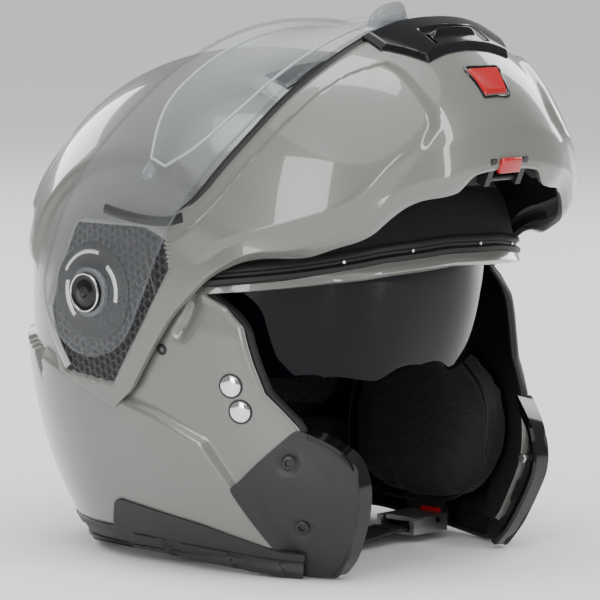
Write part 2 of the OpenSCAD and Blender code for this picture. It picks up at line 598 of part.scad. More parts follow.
module buckle_lever() {
    color("#c9cacc") translate([buckle[0] + 6, buckle[1], buckle[2] + 2]) rotate([-90, 0, 0]) difference() {
        union() {
            translate([0, 0, -9]) cylinder(h = 18, r = 3, $fn = 36);
            translate([-17, -2.6, -9]) cube([17, 2.4, 18]);
        }
        translate([0, 0, -10]) cylinder(h = 20, r = 1.5 + fit, $fn = 24);
    }
}
module buckle_tab() {
    color("#d3121e") translate([buckle[0] + 14.3, buckle[1] - 6, buckle[2] + 3.4]) cube([2.4, 12, 3]);
}
outer_shell();
foam_liner();
foam_crown();
comfort_liner();
cheek_pad_left();
cheek_pad_right();
neck_roll();
brow_gasket();
port_trim();
wing_cover_left();
wing_cover_right();
lock_plates();
lock_strikers();
bottom_trim();
strap_rivets();
wing_screws();
side_screws();
top_vent_base();
top_vent_slider();
rear_spoiler();
rear_extractor();
hinge_carriers();
hinge_rails();
sun_visor_pins();
comm_cover();
sun_visor_slider();
chin_bar();
chin_bushes();
chin_liner();
side_plate_left();
side_plate_right();
side_slots();
chin_vent_base();
chin_vent_slider();
release_button();
release_lever();
lever_pin();
lock_hook_left();
lock_hook_right();
hook_pins();
visor_posts();
visor_ratchets();
pivot_caps();
visor();
visor_bushes();
visor_seal();
fog_lens();
fog_pins();
sun_visor();
sun_visor_ears();
strap_left();
strap_right();
buckle_body();
buckle_pin();
buckle_lever();
buckle_tab();
strap_tongue();
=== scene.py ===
import math

import bmesh
import bpy
from mathutils import Matrix, Vector
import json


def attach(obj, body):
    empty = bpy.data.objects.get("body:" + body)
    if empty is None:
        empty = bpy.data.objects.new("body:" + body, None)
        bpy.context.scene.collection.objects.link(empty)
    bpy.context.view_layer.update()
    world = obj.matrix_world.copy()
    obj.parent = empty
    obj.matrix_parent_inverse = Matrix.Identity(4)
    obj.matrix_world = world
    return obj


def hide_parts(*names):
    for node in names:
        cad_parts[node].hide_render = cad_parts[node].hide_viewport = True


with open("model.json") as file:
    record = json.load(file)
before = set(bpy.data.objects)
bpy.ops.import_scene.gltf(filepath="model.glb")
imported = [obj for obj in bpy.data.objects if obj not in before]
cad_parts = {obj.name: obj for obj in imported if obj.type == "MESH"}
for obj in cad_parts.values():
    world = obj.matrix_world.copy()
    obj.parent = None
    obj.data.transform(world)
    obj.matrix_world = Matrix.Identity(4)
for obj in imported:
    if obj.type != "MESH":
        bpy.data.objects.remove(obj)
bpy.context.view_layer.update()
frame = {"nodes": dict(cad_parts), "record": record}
MM = 0.001

# Camera: a long lens a little above the brow, looking at the wearer's right cheek.
TURN, TILT, ROLL = math.radians(48.4), math.radians(6.6), math.radians(0.55)
DISTANCE = 2.2
back = Vector((-math.sin(TURN) * math.cos(TILT), -math.cos(TURN) * math.cos(TILT), math.sin(TILT)))
level = Vector((math.cos(TURN), -math.sin(TURN), 0))
upward = back.cross(level)
across = level * math.cos(ROLL) + upward * math.sin(ROLL)
upright = upward * math.cos(ROLL) - level * math.sin(ROLL)
spot = Vector((0, -0.020, 0.150)) + level * 0.0057 - upward * 0.0198
lens = bpy.data.cameras.new("camera")
lens.lens, lens.sensor_width, lens.clip_start, lens.clip_end = 248.0, 36.0, 0.05, 50.0
camera = bpy.data.objects.new("camera", lens)
camera.matrix_world = Matrix((across, upright, back)).transposed().to_4x4()
camera.location = spot + back * DISTANCE
bpy.context.scene.collection.objects.link(camera)
bpy.context.scene.camera = camera

# Studio: a pale floor, an even pale surround and soft boxes round the helmet.
AIM = Vector((0, -0.02, 0.15))
SOFT_BOXES = [("light_top", (-0.25, -0.15, 2.0), (1.5, 0.8), 24),
              ("light_side", (-1.95, -0.45, 0.7), (0.75, 1.3), 24),
              ("light_front", (-0.62, -2.0, 0.45), (0.15, 1.4), 8),
              ("light_face", (0.36, -1.22, 0.62), (0.11, 1.2), 5),
              ("light_left", (2.0, 0.2, 0.9), (0.8, 1.4), 20),
              ("light_back", (0.3, 2.1, 1.0), (1.2, 0.9), 22)]
for name, place, size, power in SOFT_BOXES:
    light = bpy.data.lights.new(name, "AREA")
    light.shape, light.size, light.size_y, light.energy = "RECTANGLE", *size, power
    box = bpy.data.objects.new(name, light)
    box.location = place
    box.rotation_euler = (AIM - Vector(place)).to_track_quat("-Z", "Y").to_euler()
    bpy.context.scene.collection.objects.link(box)
sky = bpy.data.lights.new("light_sky", "SUN")
sky.energy, sky.angle = 1.9, math.radians(80)
sky_box = bpy.data.objects.new("light_sky", sky)
sky_box.rotation_euler = (math.radians(12), math.radians(-14), 0)
bpy.context.scene.collection.objects.link(sky_box)
world = bpy.data.worlds.new("surround")
world.use_nodes = True
surround, links = world.node_tree.nodes, world.node_tree.links
surround["Background"].inputs["Color"].default_value = (0.93, 0.94, 0.95, 1)
SURROUND_LIGHT, SEEN_EXTRA = 0.38, 0.68
dimmed = surround.new("ShaderNodeMath")
dimmed.operation = "MULTIPLY_ADD"
dimmed.inputs[1].default_value, dimmed.inputs[2].default_value = SEEN_EXTRA, SURROUND_LIGHT
links.new(surround.new("ShaderNodeLightPath").outputs["Is Camera Ray"], dimmed.inputs[0])
links.new(dimmed.outputs[0], surround["Background"].inputs["Strength"])
bpy.context.scene.world = world
bm = bmesh.new()
bmesh.ops.create_grid(bm, x_segments=1, y_segments=1, size=6)
bmesh.ops.translate(bm, verts=bm.verts, vec=(0, 0, -0.0003))
floor_mesh = bpy.data.meshes.new("floor")
bm.to_mesh(floor_mesh)
floor = bpy.data.objects.new("floor", floor_mesh)
bpy.context.scene.collection.objects.link(floor)
floor_finish = bpy.data.materials.new("floor")
floor_finish.use_nodes = True
floor_shader = floor_finish.node_tree.nodes["Principled BSDF"]
floor_shader.inputs["Base Color"].default_value = (0.86, 0.86, 0.86, 1)
floor_shader.inputs["Roughness"].default_value = 0.55
floor_mesh.materials.append(floor_finish)


# Outer shell: a moulded composite dome with skirts round the face opening, painted
# gloss stone grey under a clear coat. A ledge runs down from behind each pivot.
HALF_WIDTH, WIDEST_Z, CROWN_RISE = 127, 140, 124
BACK_REACH, BROW_REACH, CHEEK_REACH, WING_BULGE = 113, 131, 160, 14
SHELL_WALL, RECESS, PIVOT_Z = 3.5, 3.8, 143
DOME_POWER, KEEL_POWER, PLAN_POWER = 2.15, 2.2, 2.3
KEEL_DROP, NAPE_DROP, DISC_R = 190, 172, 68
LEDGE = [(-99, -20), (-90, 12), (-76, 46), (-62, 68), (-36, 80), (6, 92), (50, 104)]
LEDGE_WIDE = 5.4
BROW_LINE = [(0, 159), (20, 157), (40, 151), (60, 146)]
PORT_EDGE = [(-20, -92), (0, -96), (15, -106), (41, -112), (60, -112), (79, -111), (88, -104), (97, -96),
             (112, -91), (130, -86), (140, -76), (146, -64)]
TRIM_TOP = [(-116, 13), (-92, 14), (-50, 25), (-2, 33.5), (2, 32), (9, 17.5), (30, 17), (113, 17)]


def clamp01(t):
    return max(0.0, min(1.0, t))


def smooth(t):
    t = clamp01(t)
    return t * t * (3 - 2 * t)


def mix(a, b, t):
    return a + (b - a) * t


def lookup(t, table):
    if t <= table[0][0]:
        return table[0][1]
    for (t0, v0), (t1, v1) in zip(table, table[1:]):
        if t <= t1:
            return mix(v0, v1, (t - t0) / (t1 - t0))
    return table[-1][1]


def eased(t, table):
    """The same table, read with its corners rounded."""
    return sum(lookup(t + s, table) for s in (-3, -1.5, 0, 1.5, 3)) / 5


def bulge(t, power):
    return max(1e-4, 1 - clamp01(t) ** power) ** (1 / power)


def flank(z, d=0):
    if z > WIDEST_Z:
        return bulge((z - WIDEST_Z) / (CROWN_RISE - d), DOME_POWER)
    return bulge((WIDEST_Z - z) / KEEL_DROP, KEEL_POWER)


def nape(z, d=0):
    return flank(z, d) if z > WIDEST_Z else bulge((WIDEST_Z - z) / NAPE_DROP, KEEL_POWER)


def front_len(z, d):
    swell = math.exp(-((z - 46) / (20 if z > 46 else 36)) ** 2)
    reach = mix(CHEEK_REACH + WING_BULGE * swell, BROW_REACH, smooth((z - 118) / 50)) - d
    return reach * (flank(z, d) if z > WIDEST_Z else 1)


def plan_r(a, w, reach):
    across, along = abs(math.sin(a)) / w, abs(math.cos(a)) / reach
    return (across ** PLAN_POWER + along ** PLAN_POWER) ** (-1 / PLAN_POWER)


def plain_r(a, z, d):
    reach = front_len(z, d) if math.cos(a) > 0 else (BACK_REACH - d) * nape(z, d)
    return plan_r(a, (HALF_WIDTH - d) * flank(z, d), reach)


def beside(y, z, line):
    """Distance behind and below a line of (y, z) points, and the way to go further."""
    best = (1e9, 0, 0)
    for (y0, z0), (y1, z1) in zip(line, line[1:]):
        long = math.hypot(y1 - y0, z1 - z0)
        along, up = (y1 - y0) / long, (z1 - z0) / long
        t = max(0.0, min(long, (y - y0) * along + (z - z0) * up))
        ey, ez = y - y0 - t * along, z - z0 - t * up
        away = math.hypot(ey, ez)
        if away < abs(best[0]):
            side = 1 if ey * up - ez * along > 0 else -1
            best = (side * away, up, -along)
    return best


def sunk(y, z):
    in_disc = 1 - smooth((math.hypot(y + 7, z - PIVOT_Z + 4) - DISC_R - 1) / 6)
    in_cheek = smooth(-beside(y, z, LEDGE)[0] / LEDGE_WIDE) * (1 - smooth((z - 148) / 10))
    below = smooth((z - 112) / 16) if y < 50 else 1
    return RECESS * max(in_disc * max(below, in_cheek), in_cheek)


def shell_r(a, z, d):
    r = plain_r(a, z, d)
    side = abs(math.sin(a))
    return r if side < 0.3 else r - sunk(-r * math.cos(a), z) * smooth((side - 0.3) / 0.2)


def shell_x(y, z, d):
    reach = front_len(z, d) if y < 0 else (BACK_REACH - d) * nape(z, d)
    return (HALF_WIDTH - d) * flank(z, d) * bulge(abs(y) / reach, PLAN_POWER) - sunk(y, z)


def at(a, z, r):
    return Vector((r * math.sin(a), -r * math.cos(a), z))


def grid(cols, rows, place):
    """A sheet of cols by rows faces whose corners place(u, v) sets, in millimetres."""
    bm = bmesh.new()
    bmesh.ops.create_grid(bm, x_segments=cols, y_segments=rows, size=0.5)
    for v in bm.verts:
        v.co = Vector(place(v.co.x + 0.5, v.co.y + 0.5)) * MM
    return bm


def islands(bm):
    left = set(bm.faces)
    while left:
        todo = [left.pop()]
        island = []
        while todo:
            f = todo.pop()
            island.append(f)
            for e in f.edges:
                for g in e.link_faces:
                    if g in left:
                        left.remove(g)
                        todo.append(g)
        yield island


def face_out(bm, centre=(0, 0, 130)):
    """Turns each open sheet so that it faces away from a point, in millimetres."""
    bm.normal_update()
    middle = Vector(centre) * MM
    for island in islands(bm):
        if sum(f.normal.dot(f.calc_center_median() - middle) * f.calc_area() for f in island) < 0:
            bmesh.ops.reverse_faces(bm, faces=island)


def out_and_whole(bm, within=None):
    """Welds what lies together, where asked, and points a closed form's faces outwards."""
    if within:
        bmesh.ops.remove_doubles(bm, verts=bm.verts, dist=within)
    bmesh.ops.recalc_face_normals(bm, faces=bm.faces)


def both_sides(bm):
    bmesh.ops.mirror(bm, geom=bm.verts[:] + bm.edges[:] + bm.faces[:], axis="X", merge_dist=1e-7)


def piece(name, bm, body, slot, finish, wall=None, bevel=None, angle=40, smooth_levels=0, inner=None):
    """Makes a mesh an object of the helmet: its wall goes inwards, its rims are rounded."""
    mesh = bpy.data.meshes.new(name)
    bm.to_mesh(mesh)
    bm.free()
    mesh.shade_smooth()
    mesh.set_sharp_from_angle(angle=math.radians(angle))
    mesh.materials.append(finish)
    obj = bpy.data.objects.new(name, mesh)
    bpy.context.scene.collection.objects.link(obj)
    if wall:
        solid = obj.modifiers.new("wall", "SOLIDIFY")
        solid.thickness, solid.offset, solid.use_even_offset = wall * MM, -1, False
        if inner:
            mesh.materials.append(inner)
            solid.material_offset = 1
    if bevel:
        rim = obj.modifiers.new("rims", "BEVEL")
        rim.width, rim.segments, rim.limit_method = bevel * MM, 2, "ANGLE"
        rim.angle_limit = math.radians(50)
        rim.harden_normals = False
    if smooth_levels:
        finer = obj.modifiers.new("finer", "SUBSURF")
        finer.levels = finer.render_levels = smooth_levels
    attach(obj, body)
    return obj


class Wire:
    """A shader socket that does arithmetic by adding Math nodes."""

    def __init__(self, kit, socket):
        self.kit, self.socket = kit, socket

    def maths(self, operation, *values):
        return self.kit.node("ShaderNodeMath", {"operation": operation}, *values)

    def __add__(self, other):
        return self.maths("ADD", self, other)

    __radd__ = __add__

    def __sub__(self, other):
        return self.maths("SUBTRACT", self, other)

    def __rsub__(self, other):
        return self.maths("SUBTRACT", other, self)

    def __mul__(self, other):
        return self.maths("MULTIPLY", self, other)

    __rmul__ = __mul__

    def abs(self):
        return self.maths("ABSOLUTE", self)

    def ramp(self, low, high):
        return self.kit.node("ShaderNodeMapRange", {"interpolation_type": "SMOOTHSTEP"}, self, low, high)


class Finish:
    """A material whose nodes are added one call at a time."""

    def __init__(self, name, colour, roughness, **sockets):
        self.material = bpy.data.materials.new(name)
        self.material.use_nodes = True
        self.tree = self.material.node_tree
        self.shader = self.tree.nodes["Principled BSDF"]
        self.set(self.shader, "Base Color", colour)
        self.set(self.shader, "Roughness", roughness)
        for socket, value in sockets.items():
            self.set(self.shader, socket.replace("_", " "), value)

    def set(self, node, socket, value):
        target = node.inputs[socket]
        if isinstance(value, Wire):
            self.tree.links.new(value.socket, target)
        elif isinstance(value, (tuple, list)) and len(value) == 3 and target.type == "RGBA":
            target.default_value = (*value, 1)
        else:
            target.default_value = value

    def node(self, kind, settings=None, *values, output=0, **sockets):
        node = self.tree.nodes.new(kind)
        for name, value in (settings or {}).items():
            setattr(node, name, value)
        for i, value in enumerate(values):
            self.set(node, i, value)
        for name, value in sockets.items():
            self.set(node, name.replace("_", " "), value)
        return Wire(self, node.outputs[output])

    def place(self):
        return self.node("ShaderNodeTexCoord", output="Object")

    def noise(self, scale, detail=2.0, roughness=0.5):
        return self.node("ShaderNodeTexNoise", None, output="Fac", Vector=self.place(), Scale=scale,
                         Detail=detail, Roughness=roughness)

    def blend(self, factor, one, two):
        node = self.tree.nodes.new("ShaderNodeMix")
        node.data_type = "RGBA"
        for socket, value in ((0, factor), (6, one), (7, two)):
            self.set(node, socket, value)
        return Wire(self, node.outputs[2])

    def bump(self, height, depth):
        self.set(self.shader, "Normal", self.node("ShaderNodeBump", None, Height=height, Distance=depth * MM,
                                                  Strength=1.0))
        return self

    def grain(self, scale, depth, spread, base=None):
        """Fine moulded grain, with a roughness that varies a little over the surface."""
        patches = self.noise(35, 3)
        base = self.shader.inputs["Roughness"].default_value if base is None else base
        self.set(self.shader, "Roughness", base + (patches - 0.5) * spread)
        return self.bump(self.noise(scale, 2), depth)


def paint_finish(name, colour):
    paint = Finish(name, colour, 0.34, Coat_Weight=1.0, Coat_Roughness=0.035, IOR=1.5)
    depth = paint.noise(9, 2)
    paler = tuple(c * 1.08 for c in colour)
    darker = tuple(c * 0.93 for c in colour)
    paint.set(paint.shader, "Base Color", paint.blend(depth.ramp(0.3, 0.7), darker, paler))
    paint.set(paint.shader, "Roughness", 0.3 + paint.noise(120, 1) * 0.1)
    return paint.bump(paint.noise(260, 1), 0.012).material


STONE = (0.118, 0.12, 0.108)
paint = paint_finish("stone_grey_paint", STONE)
lining_black = Finish("moulded_black", (0.012, 0.012, 0.013), 0.6).grain(900, 0.05, 0.15).material

SHELL_COLS, SHELL_DOME, SHELL_SKIRT = 288, 52, 88
PORT_FOLD = 60
COLUMN_SPREAD = [(0, 0), (0.18, PORT_FOLD), (0.82, 132), (1, 180)]


def shell_azimuth(u):
    """Azimuth of a column, closer together at the sides, where the ledges are."""
    side = abs(u - 0.5) * 2
    return math.radians(math.copysign(lookup(side, COLUMN_SPREAD), u - 0.5))


def crescent(y, z):
    """Depth of the curved relief cut in front of each pivot."""
    ry, rz = y + 12, z - 152
    away = math.hypot(ry, rz) - 46.5
    along = math.degrees(math.atan2(-rz, -ry))
    ends = smooth((along - 2) / 9) * (1 - smooth((along - 34) / 5))
    return 2.6 * ends * (smooth((away + 1) / 1.2) if away < 0.2 else 1 - smooth((away - 0.2) / 8))


def shell_skin(a, z):
    r = shell_r(a, z, 0)
    y = -r * math.cos(a)
    if abs(math.sin(a)) > 0.5:
        r -= crescent(y, z)
    over = z - lookup(abs(math.degrees(a)), BROW_LINE)
    if abs(math.degrees(a)) < PORT_FOLD + 8:
        r += 1.6 * math.exp(-(over / 3.2) ** 2)
    edge = y - lookup(z, PORT_EDGE)
    if z < 150 and abs(edge) < 12:
        r += 1.0 * math.exp(-((edge - 1) / 3.0) ** 2) - 1.2 * smooth(1 - edge / 2.5) * (edge < 2.5)
    return r


def shell_place(u, v):
    a = shell_azimuth(u)
    deg = abs(math.degrees(a))
    rim = eased(deg, BROW_LINE)
    split = SHELL_SKIRT / (SHELL_SKIRT + SHELL_DOME)
    if v >= split:
        f = (v - split) / (1 - split)
        low = math.asin(clamp01((rim - WIDEST_Z) / CROWN_RISE) ** (DOME_POWER / 2))
        rise = mix(low, math.radians(88.5), f)
        z = WIDEST_Z + CROWN_RISE * math.sin(rise) ** (2 / DOME_POWER)
        return at(a, z, shell_skin(a, z))
    f = 1 - v / split
    low = 11
    z = mix(rim, low, f)
    front = lookup(mix(BROW_LINE[-1][1], low, f), PORT_EDGE)
    edge_a = math.atan2(shell_x(front, mix(BROW_LINE[-1][1], low, f), 0), -front)
    share = clamp01((deg - PORT_FOLD) / (180 - PORT_FOLD))
    turned = mix(edge_a, math.pi, share) if deg >= PORT_FOLD else edge_a
    turned = math.copysign(turned, a)
    point = at(turned, z, shell_skin(turned, z))
    if deg < PORT_FOLD - 0.01:
        point.x, point.y = point.x * 2, point.y * 2
    return point


bm = grid(SHELL_COLS, SHELL_SKIRT + SHELL_DOME, shell_place)
bmesh.ops.delete(bm, geom=[v for v in bm.verts if v.co.x ** 2 + v.co.y ** 2 > 0.19 ** 2], context="VERTS")
bmesh.ops.remove_doubles(bm, verts=bm.verts, dist=1e-6)
crown = [e for e in bm.edges if e.is_boundary and min(v.co.z for v in e.verts) > 0.25]
bmesh.ops.contextual_create(bm, geom=crown)
face_out(bm)
shell = piece("outer_shell_paint", bm, "helmet", "shell_paint", paint, wall=SHELL_WALL, bevel=0.7, angle=50,
              inner=lining_black)
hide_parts("outer_shell")


# Chin bar: one moulding with two arms that reach back over the pivots, painted like the
# shell. It stands open, turned up about the pivots, with a raised panel on each cheek.
ARM_W, CHIN_REACH, CHIN_SWING = 128, 172, 68
CHIN_TOP, CHIN_DROP, CHIN_POWER, CHIN_WALL = 95, 108, 2.6, 3
CHIN_LOW = [(0, 13), (20, 13.5), (30, 20.5), (43, 25), (56, 46), (63, 66), (72, 80), (85, 92), (108, 103),
            (112, 112)]
CHIN_HIGH = [(0, 90), (24, 90), (43, 96), (61, 106), (68, 118), (76, 170), (84, 176), (102, 174), (112, 150)]
CHIN_END = 112
PLATE = [(-27, 170), (0, 171), (27, 169), (48, 148), (38, 114), (2, 107), (-33, 102), (-46, 111), (-46, 124)]
PANEL_TOP = [(18, 66), (21, 71), (27, 77), (43, 84), (61, 94), (68, 103), (80, 128)]
PANEL_LOW = [(18, 32), (20, 26), (29, 25), (43, 29), (56, 57), (63, 77), (80, 100)]
PANEL_RISE, PANEL_SLOPE, POCKET_DEEP, CHAMFER_DEEP, CHAMFER_TALL = 3.0, 3.6, 1.1, 4.0, 8.5


def rake(z):
    return bulge((CHIN_TOP - z) / CHIN_DROP, CHIN_POWER)


def chin_r(a, z, d):
    return plan_r(a, (ARM_W - d) * flank(z), (CHIN_REACH - d) * rake(z))


def arm_x(y, z, d):
    return (ARM_W - d) * flank(z) * bulge(abs(y) / ((CHIN_REACH - d) * rake(z)), PLAN_POWER)


def inside_by(y, z, outline):
    """How far a point is inside a convex outline, negative outside."""
    middle = (sum(p[0] for p in outline) / len(outline), sum(p[1] for p in outline) / len(outline))
    depth = 1e9
    for (y0, z0), (y1, z1) in zip(outline, outline[1:] + outline[:1]):
        ny, nz = z0 - z1, y1 - y0
        if (middle[0] - y0) * ny + (middle[1] - z0) * nz < 0:
            ny, nz = -ny, -nz
        depth = min(depth, ((y - y0) * ny + (z - z0) * nz) / math.hypot(ny, nz))
    return depth


def raise_chin(bm):
    """Turns a piece drawn with the chin bar closed up to where it stands open."""
    bmesh.ops.rotate(bm, verts=bm.verts, cent=(0, 0, PIVOT_Z * MM),
                     matrix=Matrix.Rotation(math.radians(-CHIN_SWING), 3, "X"))


def cheek_panel(deg, z):
    """Share of the raised cheek panel at a place on the chin bar."""
    top = (eased(deg, PANEL_TOP) - z) / PANEL_SLOPE
    low = (z - eased(deg, PANEL_LOW)) / PANEL_SLOPE
    front = (deg - 17.5 - max(0, (z - 60) * 0.12) - max(0, (34 - z) * 0.25)) / 2.4
    return clamp01(min(top, low, front) + 0.5) * (1 - smooth((deg - 60) / 12))


def chin_skin(a, z):
    deg = abs(math.degrees(a))
    r = chin_r(a, z, 0) + PANEL_RISE * cheek_panel(deg, z)
    y = -r * math.cos(a)
    r += POCKET_DEEP * clamp01(0.5 - inside_by(y, z, PLATE) / 1.2) * smooth((deg - 55) / 9)
    top = eased(deg, CHIN_HIGH)
    if deg < 66:
        r -= 1.6 * smooth(1 - (top - z) / 5) * smooth((66 - deg) / 6)
        r -= CHAMFER_DEEP * clamp01(1 - (z - eased(deg, CHIN_LOW)) / CHAMFER_TALL) * smooth((66 - deg) / 12)
    return r


FLANGE = 0.1


def chin_place(u, v):
    a = math.radians(mix(-CHIN_END, CHIN_END, u))
    deg = abs(math.degrees(a))
    low, top = eased(deg, CHIN_LOW), eased(deg, CHIN_HIGH)
    if v < FLANGE:
        f = 1 - v / FLANGE
        front = smooth((74 - deg) / 20)
        reach = 3 + 6 * smooth((deg - 11) / 6)
        lip = low - front * (1.5 * min(1, f * 2) - 0.5 * f)
        return at(a, lip, chin_skin(a, low) - front * (f * reach + 1.5 * smooth(f * 2)) - (1 - front) * f * 3)
    z = mix(low, top, (v - FLANGE) / (1 - FLANGE))
    return at(a, z, chin_skin(a, z))


bm = grid(280, 84, chin_place)
face_out(bm, (0, -60, 60))
raise_chin(bm)
chin = piece("chin_bar_paint", bm, "chin_bar", "shell_paint", paint, wall=CHIN_WALL, bevel=0.6, angle=24,
             inner=lining_black)
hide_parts("chin_bar")


# Clear visor: injection-moulded polycarbonate, 2 mm thick, that turns on the posts at the
# pivots and closes down on the chin bar's seal. A finger tab stands on its lower edge.
VISOR_W, VISOR_WALL = 133, 2.2
VISOR_LOW = [(0, 91.5), (24, 91.5), (43, 97.5), (58, 107), (72, 110), (80, 113)]
VISOR_HIGH = [(0, 170), (30, 169), (50, 171), (65, 176), (80, 177)]
ARM_LOOP = 33


def visor_r(a, z, d):
    reach = mix(CHIN_REACH + 1.5, BROW_REACH + 6, smooth((z - 84) / 92))
    return plan_r(a, (VISOR_W - d) * flank(mix(z, WIDEST_Z, 0.5)), reach - d)


def visor_span(deg, r):
    """Lower and upper edge of the visor at an azimuth; its arms end in round loops."""
    y = -r * math.cos(math.radians(deg))
    reach = ARM_LOOP if y > 0 else mix(ARM_LOOP, ARM_LOOP + 2, clamp01(-y / 30))
    half = math.sqrt(max(0.0, reach ** 2 - y * y)) if y > 0 else reach
    share = smooth((deg - 62) / 22)
    low, high = eased(deg, VISOR_LOW), eased(deg, VISOR_HIGH)
    return mix(low, PIVOT_Z - half, share), mix(high, PIVOT_Z + half, share)


def visor_place(d):
    end = 90 + math.degrees(math.asin((ARM_LOOP - 0.05) / VISOR_W))

    def place(u, v):
        side = math.copysign(abs(2 * u - 1) ** 0.93, u - 0.5)
        deg = abs(side) * end
        low, high = visor_span(deg, VISOR_W)
        z = mix(low, high, v)
        return at(math.radians(side * end), z, visor_r(math.radians(deg), z, d))
    return place


def clear_plastic(name, tint, least, spread, rough=0.02, see_tint=(0.97, 0.98, 0.985), **sockets):
    """Transparent plastic: what doesn't pass straight through is reflected by its skin."""
    clear = Finish(name, tint, rough, IOR=1.58, Coat_Roughness=0.01, **sockets)
    clear.set(clear.shader, "Roughness", rough + clear.noise(14, 2).ramp(0.5, 0.9) * 0.02)
    see = clear.node("ShaderNodeBsdfTransparent", None, Color=see_tint)
    facing = clear.node("ShaderNodeLayerWeight", None, output=1, Blend=0.5)
    blend = clear.tree.nodes.new("ShaderNodeMixShader")
    clear.set(blend, 0, least + facing * facing * facing * spread)
    clear.tree.links.new(see.socket, blend.inputs[1])
    clear.tree.links.new(clear.shader.outputs[0], blend.inputs[2])
    clear.tree.links.new(blend.outputs[0], clear.tree.nodes["Material Output"].inputs["Surface"])
    return clear.material


clear = clear_plastic("clear_polycarbonate", (0.5, 0.51, 0.52), 0.04, 0.45, Coat_Weight=0.5)
clear_edge = clear_plastic("polycarbonate_edge", (0.2, 0.21, 0.22), 0.5, 0.45, 0.05)

bm = grid(260, 60, visor_place(0))
bmesh.ops.remove_doubles(bm, verts=bm.verts, dist=1e-6)
pivot_hole = 12.5
near = [f for f in bm.faces if math.hypot(f.calc_center_median().y, f.calc_center_median().z - PIVOT_Z * MM)
        < pivot_hole * MM and abs(f.calc_center_median().x) > 0.1]
bmesh.ops.delete(bm, geom=near, context="FACES")
for e in bm.edges:
    if e.is_boundary:
        for v in e.verts:
            reach = Vector((v.co.y, v.co.z - PIVOT_Z * MM))
            if abs(v.co.x) > 0.1 and reach.length < (pivot_hole + 3) * MM:
                reach = reach.normalized() * pivot_hole * MM
                v.co.y, v.co.z = reach.x, reach.y + PIVOT_Z * MM
face_out(bm, (0, 0, 120))
raise_chin(bm)
visor = piece("visor_clear", bm, "visor", "clear", clear, wall=VISOR_WALL, bevel=0.5)
visor.data.materials.append(clear_edge)
visor.modifiers["wall"].material_offset_rim = 1
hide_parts("visor")

# Side plates: matte black inserts with a pressed honeycomb, glued into each arm's pocket
# under the visor's arm, with a plain strip along the front and a silver slot behind.
MECH_HOLE = 25.2


def cut_sheet(outline, step, round_by=0.0):
    """A flat sheet in side view, cut to a convex outline of (y, z) points in millimetres."""
    corners = list(outline)
    if round_by:
        corners = []
        for i, p in enumerate(outline):
            before, after = Vector(outline[i - 1]), Vector(outline[(i + 1) % len(outline)])
            p = Vector(p)
            start = p + (before - p).normalized() * min(round_by, (before - p).length * 0.45)
            end = p + (after - p).normalized() * min(round_by, (after - p).length * 0.45)
            corners += [start.lerp(p, t).lerp(p.lerp(end, t), t) for t in (0, 0.25, 0.5, 0.75, 1)]
    low_y, high_y = min(p[0] for p in corners), max(p[0] for p in corners)
    low_z, high_z = min(p[1] for p in corners), max(p[1] for p in corners)
    bm = grid(max(2, int((high_y - low_y) / step)), max(2, int((high_z - low_z) / step)),
              lambda u, v: (0, mix(low_y, high_y, u), mix(low_z, high_z, v)))
    middle = Vector((0, (low_y + high_y) / 2, (low_z + high_z) / 2)) * MM
    for p, q in zip(corners, corners[1:] + corners[:1]):
        edge = Vector((0, q[0] - p[0], q[1] - p[1]))
        if edge.length < 0.05:
            continue
        outward = Vector((0, edge.z, -edge.y)).normalized()
        point = Vector((0, p[0], p[1])) * MM
        if (middle - point).dot(outward) > 0:
            outward = -outward
        bmesh.ops.bisect_plane(bm, geom=bm.verts[:] + bm.edges[:] + bm.faces[:], dist=1e-7, plane_co=point,
                               plane_no=outward, clear_outer=True)
    return bm


def stand_off(bm, surface):
    """Lays a flat side-view sheet on the surface x = surface(y, z)."""
    for v in bm.verts:
        v.co.x = surface(v.co.y / MM, v.co.z / MM) * MM


def honeycomb(finish, pitch, lean=0.0):
    """Distance to the edge of hexagonal cells in side view, 0 at the edge and 1 in the middle."""
    turned = finish.node("ShaderNodeMapping", None, Vector=finish.place(), Rotation=(lean, 0, 0),
                         Scale=(1 / pitch, 1 / pitch, 1 / pitch))
    parts = finish.node("ShaderNodeSeparateXYZ", None, turned)
    y = Wire(finish, parts.socket.node.outputs[1])
    z = Wire(finish, parts.socket.node.outputs[2])
    tall = math.sqrt(3)

    def cell(shift_y, shift_z):
        ky = (y + shift_y).maths("FLOORED_MODULO", y + shift_y, 1.0) - 0.5
        kz = (z + shift_z).maths("FLOORED_MODULO", z + shift_z, tall) - tall / 2
        slope = ky.abs() * 0.5 + kz.abs() * (tall / 2)
        return slope.maths("MAXIMUM", slope, ky.abs())
    one, two = cell(0.0, 0.0), cell(0.5, tall / 2)
    return 1 - one.maths("MINIMUM", one, two) * 2


insert = Finish("honeycomb_insert", (0.016, 0.016, 0.018), 0.42, Specular_IOR_Level=0.35)
cells = honeycomb(insert, 0.0046, math.radians(-22))
# Painted shade: the cell hollows are coloured darker and the raised cell walls lighter, in step with the bump
# below.
insert.set(insert.shader, "Base Color", insert.blend(cells.ramp(0.05, 0.5), (0.028, 0.028, 0.03),
                                                     (0.004, 0.004, 0.005)))
insert.set(insert.shader, "Roughness", 0.3 + cells.ramp(0.0, 0.4) * 0.25)
insert.bump(1 - cells.ramp(0.02, 0.55), 0.7)
plate_frame = Finish("satin_grey_strip", (0.07, 0.068, 0.064), 0.4).grain(700, 0.02, 0.1).material
bm = cut_sheet(PLATE, 1.6, 3)
hub = Vector((0, 0, PIVOT_Z)) * MM
near = [f for f in bm.faces if (f.calc_center_median() - hub).yz.length < MECH_HOLE * MM]
bmesh.ops.delete(bm, geom=near, context="FACES")
stand_off(bm, lambda y, z: arm_x(y, z, -0.35 - 0.5 * smooth((27.5 - math.hypot(y, z - PIVOT_Z)) / 2)))
both_sides(bm)
face_out(bm)
raise_chin(bm)
plates = piece("side_inserts", bm, "chin_bar", "matte_black", insert.material, wall=1.2, bevel=0.3)
